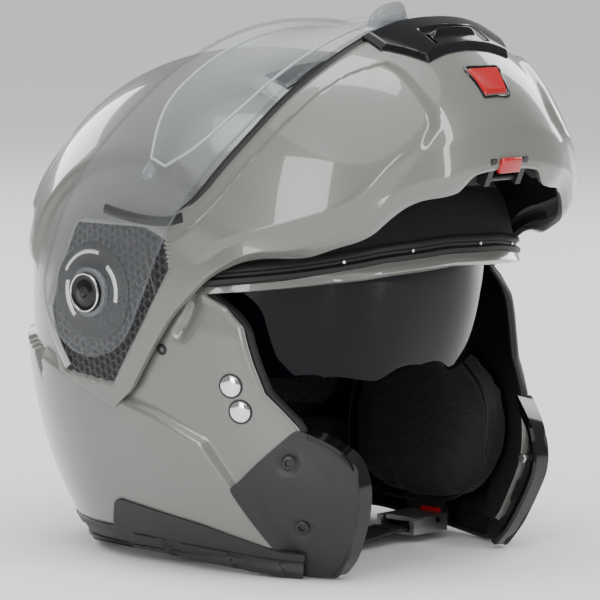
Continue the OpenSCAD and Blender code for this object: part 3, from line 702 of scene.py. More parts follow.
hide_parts("side_plate_left", "side_plate_right")

STRIP = [(-44.5, 108), (-33, 102.6), (-14, 104.8), (-38, 122), (-44.5, 128)]
bm = cut_sheet(STRIP, 2, 2)
stand_off(bm, lambda y, z: arm_x(y, z, -1.1))
both_sides(bm)
face_out(bm)
raise_chin(bm)
piece("side_strips", bm, "chin_bar", "matte_black", plate_frame, wall=0.9, bevel=0.3)

silver = Finish("silver_trim", (0.42, 0.42, 0.42), 0.32, Metallic=0.7).grain(800, 0.01, 0.12).material


def smooth_path(points, steps):
    """A smooth path through the points, with that many parts to each span."""
    points = [Vector(p) for p in points]
    path = []
    for i in range(len(points) - 1):
        a, b, c, d = (points[max(0, min(len(points) - 1, j))] for j in (i - 1, i, i + 1, i + 2))
        for k in range(steps):
            t = k / steps
            path.append(b + (c - a) * (t / 2) + (a * 2 - b * 5 + c * 4 - d) * (t * t / 2)
                        + (b * 3 - a - c * 3 + d) * (t ** 3 / 2))
    return path + [points[-1]]


def rail(points, section, steps=6, across=(0, 0, 1), ring=False):
    """A bar along a smooth path; its section's points are (along across, outwards)."""
    path = smooth_path(points, steps)
    turns = len(path) - 1
    bm = bmesh.new()
    bmesh.ops.create_grid(bm, x_segments=turns, y_segments=len(section), size=0.5)
    for v in bm.verts:
        i, j = round((v.co.x + 0.5) * turns), round((v.co.y + 0.5) * len(section))
        if ring:
            ahead = path[(i + 1) % turns] - path[(i - 1) % turns]
        else:
            ahead = path[min(i + 1, turns)] - path[max(i - 1, 0)]
        up = ahead.cross(Vector(across)).normalized()
        side = up.cross(ahead).normalized()
        w, t = section[j % len(section)]
        v.co = (path[i] + side * w + up * t) * MM
    bmesh.ops.remove_doubles(bm, verts=bm.verts, dist=1e-7)
    if not ring:
        bmesh.ops.holes_fill(bm, edges=[e for e in bm.edges if e.is_boundary], sides=0)
    out_and_whole(bm)
    return bm


def oval(w, t, sides=12, power=1.0):
    """An oval section w wide and t thick; a power under 1 squares it."""
    turns = [2 * math.pi * k / sides for k in range(sides)]
    return [(w / 2 * math.copysign(abs(math.cos(q)) ** power, math.cos(q)),
             t / 2 * math.copysign(abs(math.sin(q)) ** power, math.sin(q))) for q in turns]


bm = rail([(arm_x(y, z, -0.9), y, z) for y, z in [(22.5, 171), (34.5, 161), (45, 146)]],
          oval(2.2, 4.6, 12, 0.4), across=(1, 0, 0))
both_sides(bm)
raise_chin(bm)
slots = piece("side_slot_trims", bm, "chin_bar", "silver_paint", silver, bevel=0.25)
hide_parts("side_slots")


# Visor mechanism: stepped black discs on each arm with a toothed ratchet segment, polished
# springs and a slotted cap, all seen through the visor's clear arms.
rubber = Finish("soft_rubber", (0.008, 0.008, 0.008), 0.55, Specular_IOR_Level=0.35)
rubber = rubber.grain(600, 0.04, 0.15).material
gloss_black = Finish("gloss_black", (0.004, 0.004, 0.005), 0.1, Specular_IOR_Level=0.4)
gloss_black = gloss_black.grain(150, 0.008, 0.06).material
chrome = Finish("polished_steel", (0.78, 0.77, 0.75), 0.1, Metallic=1.0).grain(90, 0.01, 0.08).material
mechanism_black = Finish("mechanism_black", (0.009, 0.009, 0.010), 0.24, Specular_IOR_Level=0.35)
mechanism_black = mechanism_black.grain(500, 0.02, 0.1).material
POST_X, CAP_X = ARM_W, VISOR_W + 0.4


def turned(profile, y=0, z=PIVOT_Z, steps=72, arc=(0, 360), closed=False):
    """Turns a profile of (x, r) points about the X axis through (y, z)."""
    bm = bmesh.new()
    verts = [bm.verts.new((x * MM, (y + r * math.cos(math.radians(arc[0]))) * MM,
                           (z + r * math.sin(math.radians(arc[0]))) * MM)) for x, r in profile]
    edges = [bm.edges.new(pair) for pair in zip(verts, verts[1:] + ([verts[0]] if closed else []))]
    full = arc[1] - arc[0] >= 360
    bmesh.ops.spin(bm, geom=verts + edges, cent=(0, y * MM, z * MM), axis=(1, 0, 0),
                   angle=math.radians(arc[1] - arc[0]), steps=steps, use_merge=full, use_duplicate=False)
    bmesh.ops.remove_doubles(bm, verts=bm.verts, dist=1e-7)
    if not full and closed:
        bmesh.ops.holes_fill(bm, edges=[e for e in bm.edges if e.is_boundary], sides=0)
    out_and_whole(bm)
    return bm


def put_both(name, parts, body, slot_name, finish, raised=True, mirrored=True, **settings):
    """Joins the parts, copies them to the other side and makes them one piece."""
    whole = bmesh.new()
    for part in parts:
        mesh = bpy.data.meshes.new("part")
        part.to_mesh(mesh)
        part.free()
        whole.from_mesh(mesh)
        bpy.data.meshes.remove(mesh)
    if mirrored:
        both_sides(whole)
        out_and_whole(whole)
    if raised:
        raise_chin(whole)
    return piece(name, whole, body, slot_name, finish, **settings)


base = turned([(POST_X + x, r) for x, r in
               [(-0.8, 0), (-0.8, 25.5), (1.2, 25.5), (1.6, 25.0), (1.6, 23.2), (0.7, 22.6), (0.7, 19.4),
                (1.3, 19.0), (1.3, 13.2), (1.9, 12.4), (1.9, 9.0), (1.9, 0)]])
post = turned([(POST_X + 1.4, 0), (POST_X + 1.4, 7.9), (CAP_X, 7.9), (CAP_X, 0)])
mech = put_both("visor_mechanism", [base, post], "chin_bar", "matte_black", mechanism_black, bevel=0.2)
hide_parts("visor_posts")
SPRING_R, TEETH, RATCHET_ARC = 17.4, 44, (96, 172)
TOOTH_ANGLE = (RATCHET_ARC[1] - RATCHET_ARC[0]) / TEETH
SPRING = [(POST_X + 1.2, SPRING_R - 1.5), (POST_X + 2.1, SPRING_R - 1.2), (POST_X + 2.1, SPRING_R + 1.2),
          (POST_X + 1.2, SPRING_R + 1.5)]
springs = [turned(SPRING, arc=arc, steps=24, closed=True) for arc in ((20, 84), (196, 262))]
ratchet = turned([(POST_X + 0.6, 19.6), (POST_X + 2.1, 19.9), (POST_X + 2.1, 22.0), (POST_X + 0.6, 22.4)],
                 arc=RATCHET_ARC, steps=TEETH, closed=True)
for v in ratchet.verts:
    spoke = Vector((v.co.y, v.co.z - PIVOT_Z * MM))
    tooth = round(math.degrees(spoke.angle_signed(Vector((1, 0)))) / TOOTH_ANGLE)
    if tooth % 2 and spoke.length > 21 * MM:
        spoke *= 0.955
        v.co.y, v.co.z = spoke.x, spoke.y + PIVOT_Z * MM
ratchets = put_both("visor_ratchet_springs", springs + [ratchet], "chin_bar", "chrome", chrome, bevel=0.15)
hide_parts("visor_ratchets")
cap = turned([(CAP_X + x, r) for x, r in
              [(0, 0), (0, 10.4), (1.6, 10.4), (2.1, 9.8), (1.5, 8.4), (1.5, 4.8), (2.0, 4.2), (2.0, 2.4),
               (1.1, 1.8), (1.1, 0)]])
caps = put_both("pivot_cap_discs", [cap], "chin_bar", "gloss_black", gloss_black, bevel=0.2)
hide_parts("pivot_caps")
ring = turned([(CAP_X + 1.7 + 0.55 * math.cos(q), 9.6 + 0.55 * math.sin(q)) for q in
               [2 * math.pi * k / 8 for k in range(8)]], closed=True)
put_both("pivot_cap_rings", [ring], "chin_bar", "chrome", chrome)

BUSH_BACK = VISOR_W - VISOR_WALL - 0.3
bush = turned([(BUSH_BACK, 8.1), (VISOR_W + 0.2, 8.1), (VISOR_W + 0.2, 11.4), (VISOR_W - 0.1, 12.6),
               (BUSH_BACK, 12.6)], closed=True)
bushes = put_both("visor_arm_bushes", [bush], "visor", "clear", clear_edge, bevel=0.15)
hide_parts("visor_bushes")


# Chin-bar seals: an extruded rubber lip along the visor's closing edge that carries on
# down the front of each side plate.
def on_chin(deg, z, out):
    a = math.radians(deg)
    return at(a, z, chin_r(a, z, 0) + out)


bm = rail([on_chin(d, eased(abs(d), CHIN_HIGH) - 0.6, -2.4) for d in range(-64, 65, 4)],
          [(-1.8, -1.6), (1.4, -1.6), (2.6, 0.2), (2.2, 1.6), (1.2, 0.9), (0.2, 2.0), (-1.8, 1.4)], steps=4)
raise_chin(bm)
seal = piece("visor_seal_lip", bm, "chin_bar", "rubber", rubber, angle=50)
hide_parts("visor_seal")
side_seal = rail([(arm_x(y, z, -0.6), y, z) for y, z in
                  [(-60, 106), (-54, 114), (-49, 126), (-45, 140), (-42, 154)]],
                 oval(2.6, 5.2, 10, 0.5), across=(1, 0, 0))
put_both("visor_side_seals", [side_seal], "chin_bar", "rubber", rubber, bevel=0.3)


# Inner fog lens: a thin clear film behind the visor, held by a drop-shaped pin each side,
# and the visor's finger tab.
FOG_LOW = [(0, 103), (24, 104), (40, 110), (52, 120), (57, 133)]
FOG_HIGH = [(0, 160), (30, 160), (44, 158), (52, 150), (57, 140)]
FOG_END, FOG_PIN, FOG_PIN_R = 57, (60, 138), 4


def fog_place(u, v):
    deg = mix(-FOG_END, FOG_END, u)
    z = mix(eased(abs(deg), FOG_LOW), eased(abs(deg), FOG_HIGH), v)
    return at(math.radians(deg), z, visor_r(math.radians(deg), z, VISOR_WALL + 0.5))


bm = grid(110, 24, fog_place)
face_out(bm, (0, 0, 120))
raise_chin(bm)
film = piece("fog_lens_film", bm, "visor", "clear", clear, wall=0.9)
film.data.materials.append(clear_edge)
film.modifiers["wall"].material_offset_rim = 1
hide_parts("fog_lens")
outline = [(u / 24, 0) for u in range(24)] + [(1, v / 8) for v in range(8)]
outline += [(1 - u / 24, 1) for u in range(24)] + [(0, 1 - v / 8) for v in range(9)]
bead = rail([fog_place(u, v) for u, v in outline], oval(1.5, 1.5, 8), steps=3, ring=True)
raise_chin(bead)
bead_gum = Finish("lens_bead", (0.62, 0.63, 0.64), 0.25, Transmission_Weight=0.4)
bead_gum = bead_gum.grain(300, 0.01, 0.05).material
piece("fog_lens_bead", bead, "visor", "clear", bead_gum)
deg, z = FOG_PIN
pin = bmesh.new()
bmesh.ops.create_uvsphere(pin, u_segments=24, v_segments=14, radius=FOG_PIN_R * MM)
for v in pin.verts:
    v.co.x *= 0.42
    if v.co.y > 0:
        v.co.y *= 1.9
        v.co.z *= 1 - 0.09 * (v.co.y / MM) ** 1.05 if v.co.y / MM < FOG_PIN_R * 1.9 else 0.05
for turn, axis in ((150, "X"), (deg - 90, "Z")):
    bmesh.ops.rotate(pin, verts=pin.verts, cent=(0, 0, 0),
                     matrix=Matrix.Rotation(math.radians(turn), 3, axis))
spot = at(math.radians(deg), z, visor_r(math.radians(deg), z, VISOR_WALL + 0.6))
bmesh.ops.translate(pin, verts=pin.verts, vec=spot * MM)
pin_mesh = put_both("fog_lens_pins", [pin], "visor", "clear", clear_edge)
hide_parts("fog_pins")


def tab_place(u, v):
    a = math.radians(mix(-13, -5, u))
    z = 92.4 + 5 * v
    reach = 8.5 * math.sin(v * math.pi / 2) * (1 - (2 * u - 1) ** 4) ** 0.5
    return at(a, z - 2.0 * v, visor_r(a, 93, 0) - 0.2 + reach)


bm = grid(24, 12, tab_place)
face_out(bm, (0, -100, 60))
raise_chin(bm)
piece("visor_finger_tab", bm, "visor", "clear", clear_edge, wall=1.8, bevel=0.4)


# Chin vent: a gloss black moulding set in the top of the chin bar, with a thumb slider.
VENT_LOW = [(0, 60), (6, 59), (11, 57), (16, 76)]
VENT_HALF, VENT_TOP = 16.4, 90.5


def vent_place(u, v):
    deg = mix(-VENT_HALF, VENT_HALF, u)
    z = mix(lookup(abs(deg), VENT_LOW), VENT_TOP, v)
    a = math.radians(deg)
    edge = min(1, (VENT_HALF - abs(deg)) / 1.2, (z - lookup(abs(deg), VENT_LOW)) / 3, (90.6 - z) / 2.5)
    dish = 2.2 * smooth((7.4 - abs(deg)) / 1.0) * smooth((z - 64) / 2) * smooth((79 - z) / 2)
    return at(a, z, chin_r(a, z, 0) + 0.6 + 2.6 * clamp01(edge) - dish)


bm = grid(132, 40, vent_place)
face_out(bm, (0, -60, 60))
raise_chin(bm)
vent = piece("chin_vent_cover", bm, "chin_bar", "gloss_black", gloss_black, wall=2.2, bevel=0.3)
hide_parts("chin_vent_base")


def vent_slide_place(u, v):
    deg = mix(-6, 6, u)
    z = 65.5 + 9 * v
    a = math.radians(deg)
    lift = 2.0 + 3.4 * math.exp(-((v - 0.78) / 0.2) ** 2) * (1 - (2 * u - 1) ** 6)
    return at(a, z, chin_r(a, z, 0) + lift)


bm = grid(60, 28, vent_slide_place)
face_out(bm, (0, -60, 60))
raise_chin(bm)
vent_slide = piece("chin_vent_thumb_slider", bm, "chin_vent_slider", "gloss_black", gloss_black, wall=1.5,
                   bevel=0.3)
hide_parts("chin_vent_slider")


# Release button and lever: gloss red plastic. The button sits in a rimmed window of the
# chin bar; the lever hangs under its lower edge on a steel pin.
red = Finish("gloss_red", (0.36, 0.002, 0.004), 0.22, Coat_Weight=0.3, Coat_Roughness=0.06)
red = red.grain(220, 0.012, 0.08).material
BUTTON_Z, BUTTON_H, BUTTON_W = 41, 14, 24


def button_place(u, v):
    s, t = 2 * u - 1, 2 * v - 1
    z = BUTTON_Z + t * (BUTTON_H / 2 - 0.2)
    x = s * (BUTTON_W / 2 - 1.7 + 1.5 * t)
    a = math.asin(x / chin_r(0, z, 0))
    crown = 1.6 * min(1, (1 - abs(s)) * 9) * min(1, (1 - abs(t)) * 6) - 0.8 * (1 - s * s) * (1 - t * t)
    return at(a, z, chin_r(a, z, 0) + 0.2 + crown)


bm = grid(36, 24, button_place)
face_out(bm, (0, -60, 60))
raise_chin(bm)
button = piece("chin_release_button", bm, "release_button", "red", red, wall=1.6, bevel=0.25)
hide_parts("release_button")
window = []
for t in [(-1, -1), (0, -1), (1, -1), (1, 0), (1, 1), (0, 1), (-1, 1), (-1, 0), (-1, -1)]:
    z = BUTTON_Z + t[1] * (BUTTON_H / 2 + 0.7)
    x = t[0] * (BUTTON_W / 2 - 0.6 + 1.5 * t[1])
    a = math.asin(x / chin_r(0, z, 0))
    window.append(at(a, z, chin_r(a, z, 0) + 0.1))
bm = rail(window, oval(1.5, 1.5, 8), steps=3, across=(0, -1, 0.1))
raise_chin(bm)
piece("release_window_rim", bm, "chin_bar", "gloss_black", gloss_black)
LEVER_Y, LEVER_Z, LEVER_LONG = -126.8, 11.9, 8
bm = bmesh.new()
bmesh.ops.create_cube(bm, size=1)
for v in bm.verts:
    front = v.co.y < 0
    v.co = Vector((v.co.x * (15 if front else 17), LEVER_Y + v.co.y * LEVER_LONG,
                   LEVER_Z + v.co.z * (2.6 if front else 3.4))) * MM
bmesh.ops.bevel(bm, geom=bm.edges[:], offset=0.9 * MM, segments=3, affect="EDGES", profile=0.5, material=-1)
raise_chin(bm)
lever = piece("release_lever_tab", bm, "release_lever", "red", red)
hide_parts("release_lever")


# Chin curtain and vent foam: ribbed black moulding behind the chin bar's front.
curtain_black = Finish("curtain_black", (0.007, 0.007, 0.0075), 0.75, Specular_IOR_Level=0.2)
curtain_black = curtain_black.grain(1200, 0.06, 0.1).material
CURTAIN_DEEP, RIB_PITCH, RIB_RISE = 23, 3.6, 0.7


def curtain_place(u, v):
    deg = mix(-74, 74, u)
    a = math.radians(deg)
    low, high = eased(abs(deg), CHIN_LOW) + 3, eased(abs(deg), CHIN_HIGH) - 6
    z = mix(low, high, v)
    ribbed = smooth((40 - abs(deg)) / 14) * smooth((z - low - 4) / 4) * smooth((high - 4 - z) / 4)
    rib = RIB_RISE * math.sin(z * 2 * math.pi / RIB_PITCH) * ribbed
    hollow = smooth((32 - abs(deg)) / 5) * smooth((v - 0.01) / 0.12) * smooth((1 - v) / 0.3)
    depth = CHIN_WALL + 1.4 + CURTAIN_DEEP * hollow
    return at(a, z, chin_skin(a, z) - depth - rib)


bm = grid(120, 130, curtain_place)
face_out(bm, (0, -60, 60))
for f in bm.faces:
    f.normal_flip()
raise_chin(bm)
curtain = piece("chin_liner_ribs", bm, "chin_bar", "fabric", curtain_black, wall=1.0)
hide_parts("chin_liner")


# Brow gasket and port trim: extruded black rubber pushed over the shell's edges. The
# gasket has two ridges, which the chin bar closes down on.
def brow_point(deg, up, out):
    a = math.radians(deg)
    z = lookup(abs(deg), BROW_LINE) + up
    return at(a, z, plain_r(a, z, 0) + out)


GASKET = [(-4.8, -1.5), (5.2, -1.5), (5.2, 0.6), (4.2, 2.2), (2.2, 2.5), (0.9, 0.7), (-0.2, 0.7), (-1.4, 2.9),
          (-3.4, 3.0), (-4.8, 1.2)]
GASKET_UP = 8.5
bm = rail([brow_point(d, GASKET_UP, 0) for d in range(-66, 67, 4)], GASKET, steps=4)
gasket = piece("brow_gasket_ridges", bm, "helmet", "rubber", rubber, angle=50)
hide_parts("brow_gasket")


def brow_panel_place(u, v):
    deg = mix(-60, 60, u)
    ends = smooth((60 - abs(deg)) / 4)
    return brow_point(deg, mix(12, 12 + 26 * (0.3 + 0.7 * ends), v), 0.15 + 0.8 * smooth((1 - v) * 6))


bm = grid(90, 10, brow_panel_place)
face_out(bm)
piece("brow_panel", bm, "helmet", "matte_black", curtain_black, wall=0.8)
screw_heads = []
for deg in (-30, -12, 12, 30):
    head = bmesh.new()
    bmesh.ops.create_cone(head, cap_ends=True, segments=20, radius1=1.0 * MM, radius2=0.8 * MM,
                          depth=0.6 * MM)
    for turn, axis in ((90, "X"), (deg, "Z")):
        bmesh.ops.rotate(head, verts=head.verts, cent=(0, 0, 0),
                         matrix=Matrix.Rotation(math.radians(turn), 3, axis))
    bmesh.ops.translate(head, verts=head.verts, vec=brow_point(deg, 8.8, 1.4) * MM)
    screw_heads.append(head)
put_both("gasket_screws", screw_heads, "helmet", "steel", chrome, raised=False, mirrored=False)


def port_point(z, out=0.0, back=0.0):
    y = eased(z, PORT_EDGE) + back
    return Vector((shell_x(y, z, 0) + out, y, z))


bm = rail([port_point(z, -4.6, 1.4) for z in range(147, 76, -5)], oval(5.4, 3.4, 10, 0.6), steps=3,
          across=(1, 0, 0))
both_sides(bm)
out_and_whole(bm)
trim = piece("port_edge_trim", bm, "helmet", "rubber", rubber)
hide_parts("port_trim")


# Wing covers: matte black moulded panels screwed over the shell's front lower corners,
# with gloss black lock plates wrapped round their front edges.
matte_black = Finish("matte_black_moulding", (0.017, 0.017, 0.0175), 0.48, Specular_IOR_Level=0.35)
matte_black = matte_black.grain(1400, 0.05, 0.12).material
WING = [(-110, 79.5), (-126, 71), (-136, 60), (-137, 42), (-126, 14), (-116, 0.6), (-98, 0.6), (-91, 15),
        (-76, 47)]
WING_SCREWS = ((-106, 62), (-108, 28))
WING_OUT = 1.6


def wing_face(y, z):
    crease = smooth((inside_by(y, z, WING) - 9) / 3.5)
    front = smooth((-(y + 113) - (z - 40) * 0.1 + 4) / 5)
    return shell_x(y, z, 0) + WING_OUT + 1.0 * crease * (1 - 0.35 * front)


bm = cut_sheet(WING, 1.7, 3)
stand_off(bm, wing_face)
for y, z in WING_SCREWS:
    for v in bm.verts:
        r = math.hypot(v.co.y / MM - y, v.co.z / MM - z)
        v.co.x -= 1.4 * MM * (1 - smooth((r - 4.6) / 1.2))
both_sides(bm)
face_out(bm)
wings = piece("wing_covers", bm, "helmet", "matte_black", matte_black, wall=2.4, bevel=0.6)
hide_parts("wing_cover_left", "wing_cover_right")


def facing(y, z):
    """The turn that points X straight out of the shell at a place on its side."""
    slope_y = (shell_x(y + 2, z, 0) - shell_x(y - 2, z, 0)) / 4
    slope_z = (shell_x(y, z + 2, 0) - shell_x(y, z - 2, 0)) / 4
    return Vector((1, -slope_y, -slope_z)).to_track_quat("X", "Z").to_matrix()


def seated(profile, y, z, x, steps=48, closed=False):
    """A turned piece standing straight out of the shell's side at a place on it."""
    head = turned(profile, 0, 0, steps, closed=closed)
    bmesh.ops.rotate(head, verts=head.verts, cent=(0, 0, 0), matrix=facing(y, z))
    bmesh.ops.translate(head, verts=head.verts, vec=Vector((x, y, z)) * MM)
    return head


def screw(y, z, x, r=3.9):
    """A round socket screw."""
    return seated([(0, 0), (-1.6, 0), (-1.6, r * 0.42), (0.1, r * 0.48), (0.1, r * 0.8), (-0.5, r), (-3, r)],
                  y, z, x, 36)


screw_black = Finish("screw_black", (0.018, 0.018, 0.019), 0.36, Metallic=0.4).grain(700, 0.02, 0.1).material
heads = put_both("wing_cover_screws", [screw(y, z, wing_face(y, z) - 0.2) for y, z in WING_SCREWS], "helmet",
                 "matte_black", screw_black, raised=False, bevel=0.15)
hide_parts("wing_screws")
side_heads = put_both("side_cover_screws", [screw(-41, 116, shell_x(-41, 116, 0) + 0.8, 2.9)], "helmet",
                      "matte_black", screw_black, raised=False, bevel=0.15)
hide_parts("side_screws")
LOCK_PATH = [(-112, 77), (-125, 69.5), (-133, 60), (-135, 42), (-124, 15), (-114, 3)]
LOCK_SECTION = [(-5.6, -1.6), (5.2, -1.6), (6.2, -0.4), (6.2, 0.9), (5.2, 1.8), (-4.2, 1.8), (-5.6, 0.6)]
bm = rail([(shell_x(y, z, 0) - 4.8, y + 0.6, z) for y, z in LOCK_PATH], LOCK_SECTION, steps=5,
          across=(1, 0, 0))
both_sides(bm)
out_and_whole(bm)
locks = piece("lock_plate_trims", bm, "helmet", "gloss_black", gloss_black, bevel=0.4)
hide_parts("lock_plates")
steel = Finish("brushed_steel", (0.55, 0.54, 0.52), 0.3, Metallic=1.0)
brushed = steel.node("ShaderNodeMapping", None, Vector=steel.place(), Scale=(30, 900, 900))
steel_brush = steel.node("ShaderNodeTexNoise", None, output="Fac", Vector=brushed, Scale=1.0, Detail=2.0)
steel.set(steel.shader, "Roughness", 0.22 + steel_brush * 0.2)
steel = steel.bump(steel_brush, 0.03).material
STRIKER = (-130, 50)
pin_x = shell_x(*STRIKER, 0) - 2
pin = turned([(pin_x + x, r) for x, r in [(-16, 0), (-16, 1.9), (-15.4, 2.5), (0, 2.5), (0, 0)]], *STRIKER, 28)
collar = turned([(pin_x + x, r) for x, r in [(-3.4, 2.4), (-3.4, 4.0), (-1.6, 4.0), (-1.6, 2.4)]], *STRIKER, 28,
                closed=True)
strikers = put_both("lock_striker_pins", [pin, collar], "helmet", "steel", steel, raised=False, bevel=0.2)
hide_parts("lock_strikers")


# Strap rivets: polished domed rivet heads through the shell, each on a thin washer.
RIVETS, RIVET_R = ((-79, 100), (-83, 87)), 5.4
DOME = [(-2, 0), (-2, RIVET_R * 0.9), (0.0, RIVET_R), (0.5, RIVET_R), (1.1, RIVET_R * 0.86),
        (1.5, RIVET_R * 0.5), (1.6, 0)]
WASHER = [(-0.8, 5.3), (0.25, 5.3), (0.25, 6.4), (-0.8, 6.6)]
rivets = put_both("strap_rivet_heads", [seated(DOME, y, z, shell_x(y, z, 0)) for y, z in RIVETS], "helmet",
                  "chrome", chrome, raised=False, angle=30)
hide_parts("strap_rivets")
put_both("strap_rivet_washers", [seated(WASHER, y, z, shell_x(y, z, 0), closed=True) for y, z in RIVETS],
         "helmet", "matte_black", screw_black, raised=False)


# Base trim: a thick moulded black edging clipped round the shell's lower edge, stepped up
# behind the cheeks and tucked in underneath.
TRIM_BASE = [(-116, 0.2), (-92, 0.6), (-60, 3), (-10, 6), (24, 6), (60, 2), (90, 0.2), (113, 0.2)]
BLOCKS = [(-97, -72), (-68, -30), (-26, 2)]
BLOCK_STEP = 1.6


def trim_place(u, v):
    a = math.radians(mix(38, 322, u))
    y = -plain_r(a, 12, 0) * math.cos(a)
    top, low = lookup(y, TRIM_TOP), eased(y, TRIM_BASE)
    bare = plain_r(a, max(low + 6, 8), 0)
    if v > 0.85:
        f = (v - 0.85) / 0.15
        return at(a, low + 0.8 * f, bare - mix(2.6, 9, f))
    z = mix(low, top, 1 - v / 0.85)
    lean = (z - low) * 0.5
    block = max(min(smooth((y - y0 - lean) / 1.2), smooth((y1 - lean - y) / 1.2)) for y0, y1 in BLOCKS)
    step = BLOCK_STEP * block * smooth((low + 9 - z) / 1.0) - 1.2 * smooth((low + 9.5 - z) / 1.0)
    tuck = 2.4 * (1 - smooth((z - low) / 3.5))
    return at(a, z, (plain_r(a, z, 0) if z > 8 else mix(bare, plain_r(a, 8, 0), 0.5)) + 1.3 - tuck + step)


bm = grid(420, 60, trim_place)
face_out(bm)
trim_base = piece("bottom_trim_moulding", bm, "helmet", "matte_black", matte_black, wall=2.0, bevel=0.4)
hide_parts("bottom_trim")


# Inner sun visor: dark smoke polycarbonate, hung on pins inside the shell and swung down.
SUN_R, SUN_Y, SUN_Z, SUN_W, SUN_POWER, SUN_WALL = 104, -14, 150, 102, 2.3, 2
SUN_LOW = [(0, -25.5), (8, -25.0), (17, -25.6), (29, -29.6), (50, -29.4), (66, -32), (80, -39), (92, -50),
           (100, -56)]
SUN_TOP, SUN_SPAN = 16, 77


def sun_place(u, v):
    p = math.radians(mix(-SUN_SPAN, SUN_SPAN, u))
    reach = math.cos(p) ** (2 / SUN_POWER)
    x = SUN_W * math.copysign(abs(math.sin(p)) ** (2 / SUN_POWER), p)
    tilt = math.radians(mix(eased(abs(x), SUN_LOW), SUN_TOP, v))
    reach *= 1 + 0.35 * (1 / math.cos(min(0, max(tilt, -0.6))) - 1)
    return (x, SUN_Y - SUN_R * reach * math.cos(tilt), SUN_Z + SUN_R * reach * math.sin(tilt))


smoke = clear_plastic("smoke_polycarbonate", (0.002, 0.0025, 0.004), 0.94, 0.06, 0.02, (0.3, 0.42, 0.6),
                      Specular_IOR_Level=0.16)
smoke_edge = Finish("smoke_edge", (0.05, 0.055, 0.06), 0.25).grain(300, 0.01, 0.05).material
bm = grid(180, 48, sun_place)
face_out(bm, (0, 0, 150))
sun = piece("sun_visor_smoke", bm, "sun_visor", "smoke", smoke, wall=SUN_WALL, bevel=0.4)
sun.data.materials.append(smoke_edge)
sun.modifiers["wall"].material_offset_rim = 1
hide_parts("sun_visor")


# Liners: an expanded foam shell inside the outer one, and a quilted knitted lining in it.
foam = Finish("grey_foam", (0.02, 0.02, 0.021), 0.85)
beads = foam.node("ShaderNodeTexVoronoi", None, output="Distance", Vector=foam.place(), Scale=330.0)
# Painted shade: the crevices between the foam beads are coloured darker than the bead tops, in step with the
# bump.
foam.set(foam.shader, "Base Color", foam.blend(beads.ramp(0.1, 0.6), (0.028, 0.028, 0.029),
                                               (0.012, 0.012, 0.013)))
foam = foam.bump(1 - beads.ramp(0, 0.7), 0.25).material


def knit_finish(name, colour, pitch):
    """Knitted cloth: rows of small loops with painted shade between them and painted light on their tops, finer
    patches of tone and a soft sheen.
    """
    knit = Finish(name, colour, 0.85, Sheen_Weight=0.15, Sheen_Roughness=0.5)
    spots = knit.node("ShaderNodeMapping", None, Vector=knit.place(),
                      Scale=(1 / pitch, 1 / pitch, 0.72 / pitch))
    loops = knit.node("ShaderNodeTexVoronoi", {"feature": "SMOOTH_F1"}, output="Distance", Vector=spots,
                      Scale=1.0, Smoothness=0.3, Randomness=0.25)
    patches = knit.noise(40, 3)
    # Painted light and shade: the loop tops take a lighter copy of the colour and the gaps between loops a
    # darker copy, in step with the bump; the noise patches add real random tone.
    raised, sunken = tuple(c * 1.7 for c in colour), tuple(c * 0.5 for c in colour)
    shade = (loops * 0.7 + patches * 0.5).ramp(0.2, 0.9)
    knit.set(knit.shader, "Base Color", knit.blend(shade, raised, sunken))
    knit.set(knit.shader, "Roughness", 0.72 + loops * 0.2)
    return knit.bump(1 - loops, 0.35).material


knit = knit_finish("black_knit", (0.011, 0.011, 0.012), 0.0016)
mesh_knit = knit_finish("black_mesh_knit", (0.008, 0.008, 0.009), 0.0026)


SKIRT = 90


def lining_place(outer, inner, low_back, low_front, quilt=0.0):
    """A dome with a skirt, closed round its rim: down the outside, up the inside."""
    def place(u, v):
        a = math.radians(mix(-180, 180, u))
        deg = abs(mix(-180, 180, u))
        rim = mix(low_front, low_back, smooth((deg - 96) / 12))
        f, d = (1 - 2 * v, outer(deg)) if v < 0.5 else (2 * v - 1, inner)
        f = f ** 0.9
        up = (rim - WIDEST_Z) / (CROWN_RISE if rim > WIDEST_Z else SKIRT)
        rise = mix(math.asin(up) if rim > WIDEST_Z else up, math.pi / 2, f)
        z = WIDEST_Z + SKIRT * rise
        if rise > 0:
            z = WIDEST_Z + (CROWN_RISE - d) * math.sin(rise) ** (2 / DOME_POWER)
        r = plain_r(a, min(z, WIDEST_Z + (CROWN_RISE - d) * 0.99995), d) if f < 0.9999 else 0.0
        if quilt and v > 0.5 and f < 0.93:
            upright, level = (deg % 36 - 18) / 2.2, ((z - 60) % 34 - 17) / 2.2
            r += quilt * (math.exp(-upright ** 2) + math.exp(-level ** 2))
        return at(a, z, r)
    return place


bm = grid(144, 90, lining_place(lambda deg: mix(31, 8.4, smooth((deg - 92) / 22)), 37.6, 62, 172))
out_and_whole(bm, 2e-5)
foam_piece = piece("foam_shell", bm, "helmet", "foam", foam)
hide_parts("foam_liner", "foam_crown")
bm = grid(216, 120, lining_place(lambda deg: 38.4, 43.5, 70, 170, 1.6))
out_and_whole(bm, 2e-5)
lining = piece("comfort_lining", bm, "helmet", "fabric", mesh_knit)
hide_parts("comfort_liner")


# Cheek pads and neck roll: foam pads in knitted covers, crowned towards the face, with a
# piped seam round each.
PAD = [(-8, 122), (-40, 114), (-70, 96), (-94, 82), (-103, 60), (-98, 36), (-84, 20), (-50, 15.5), (-16, 17),
       (8, 30), (17, 60), (12, 95)]
PAD_MIDDLE, CLOTH_FRAMES = (-44, 64), 20


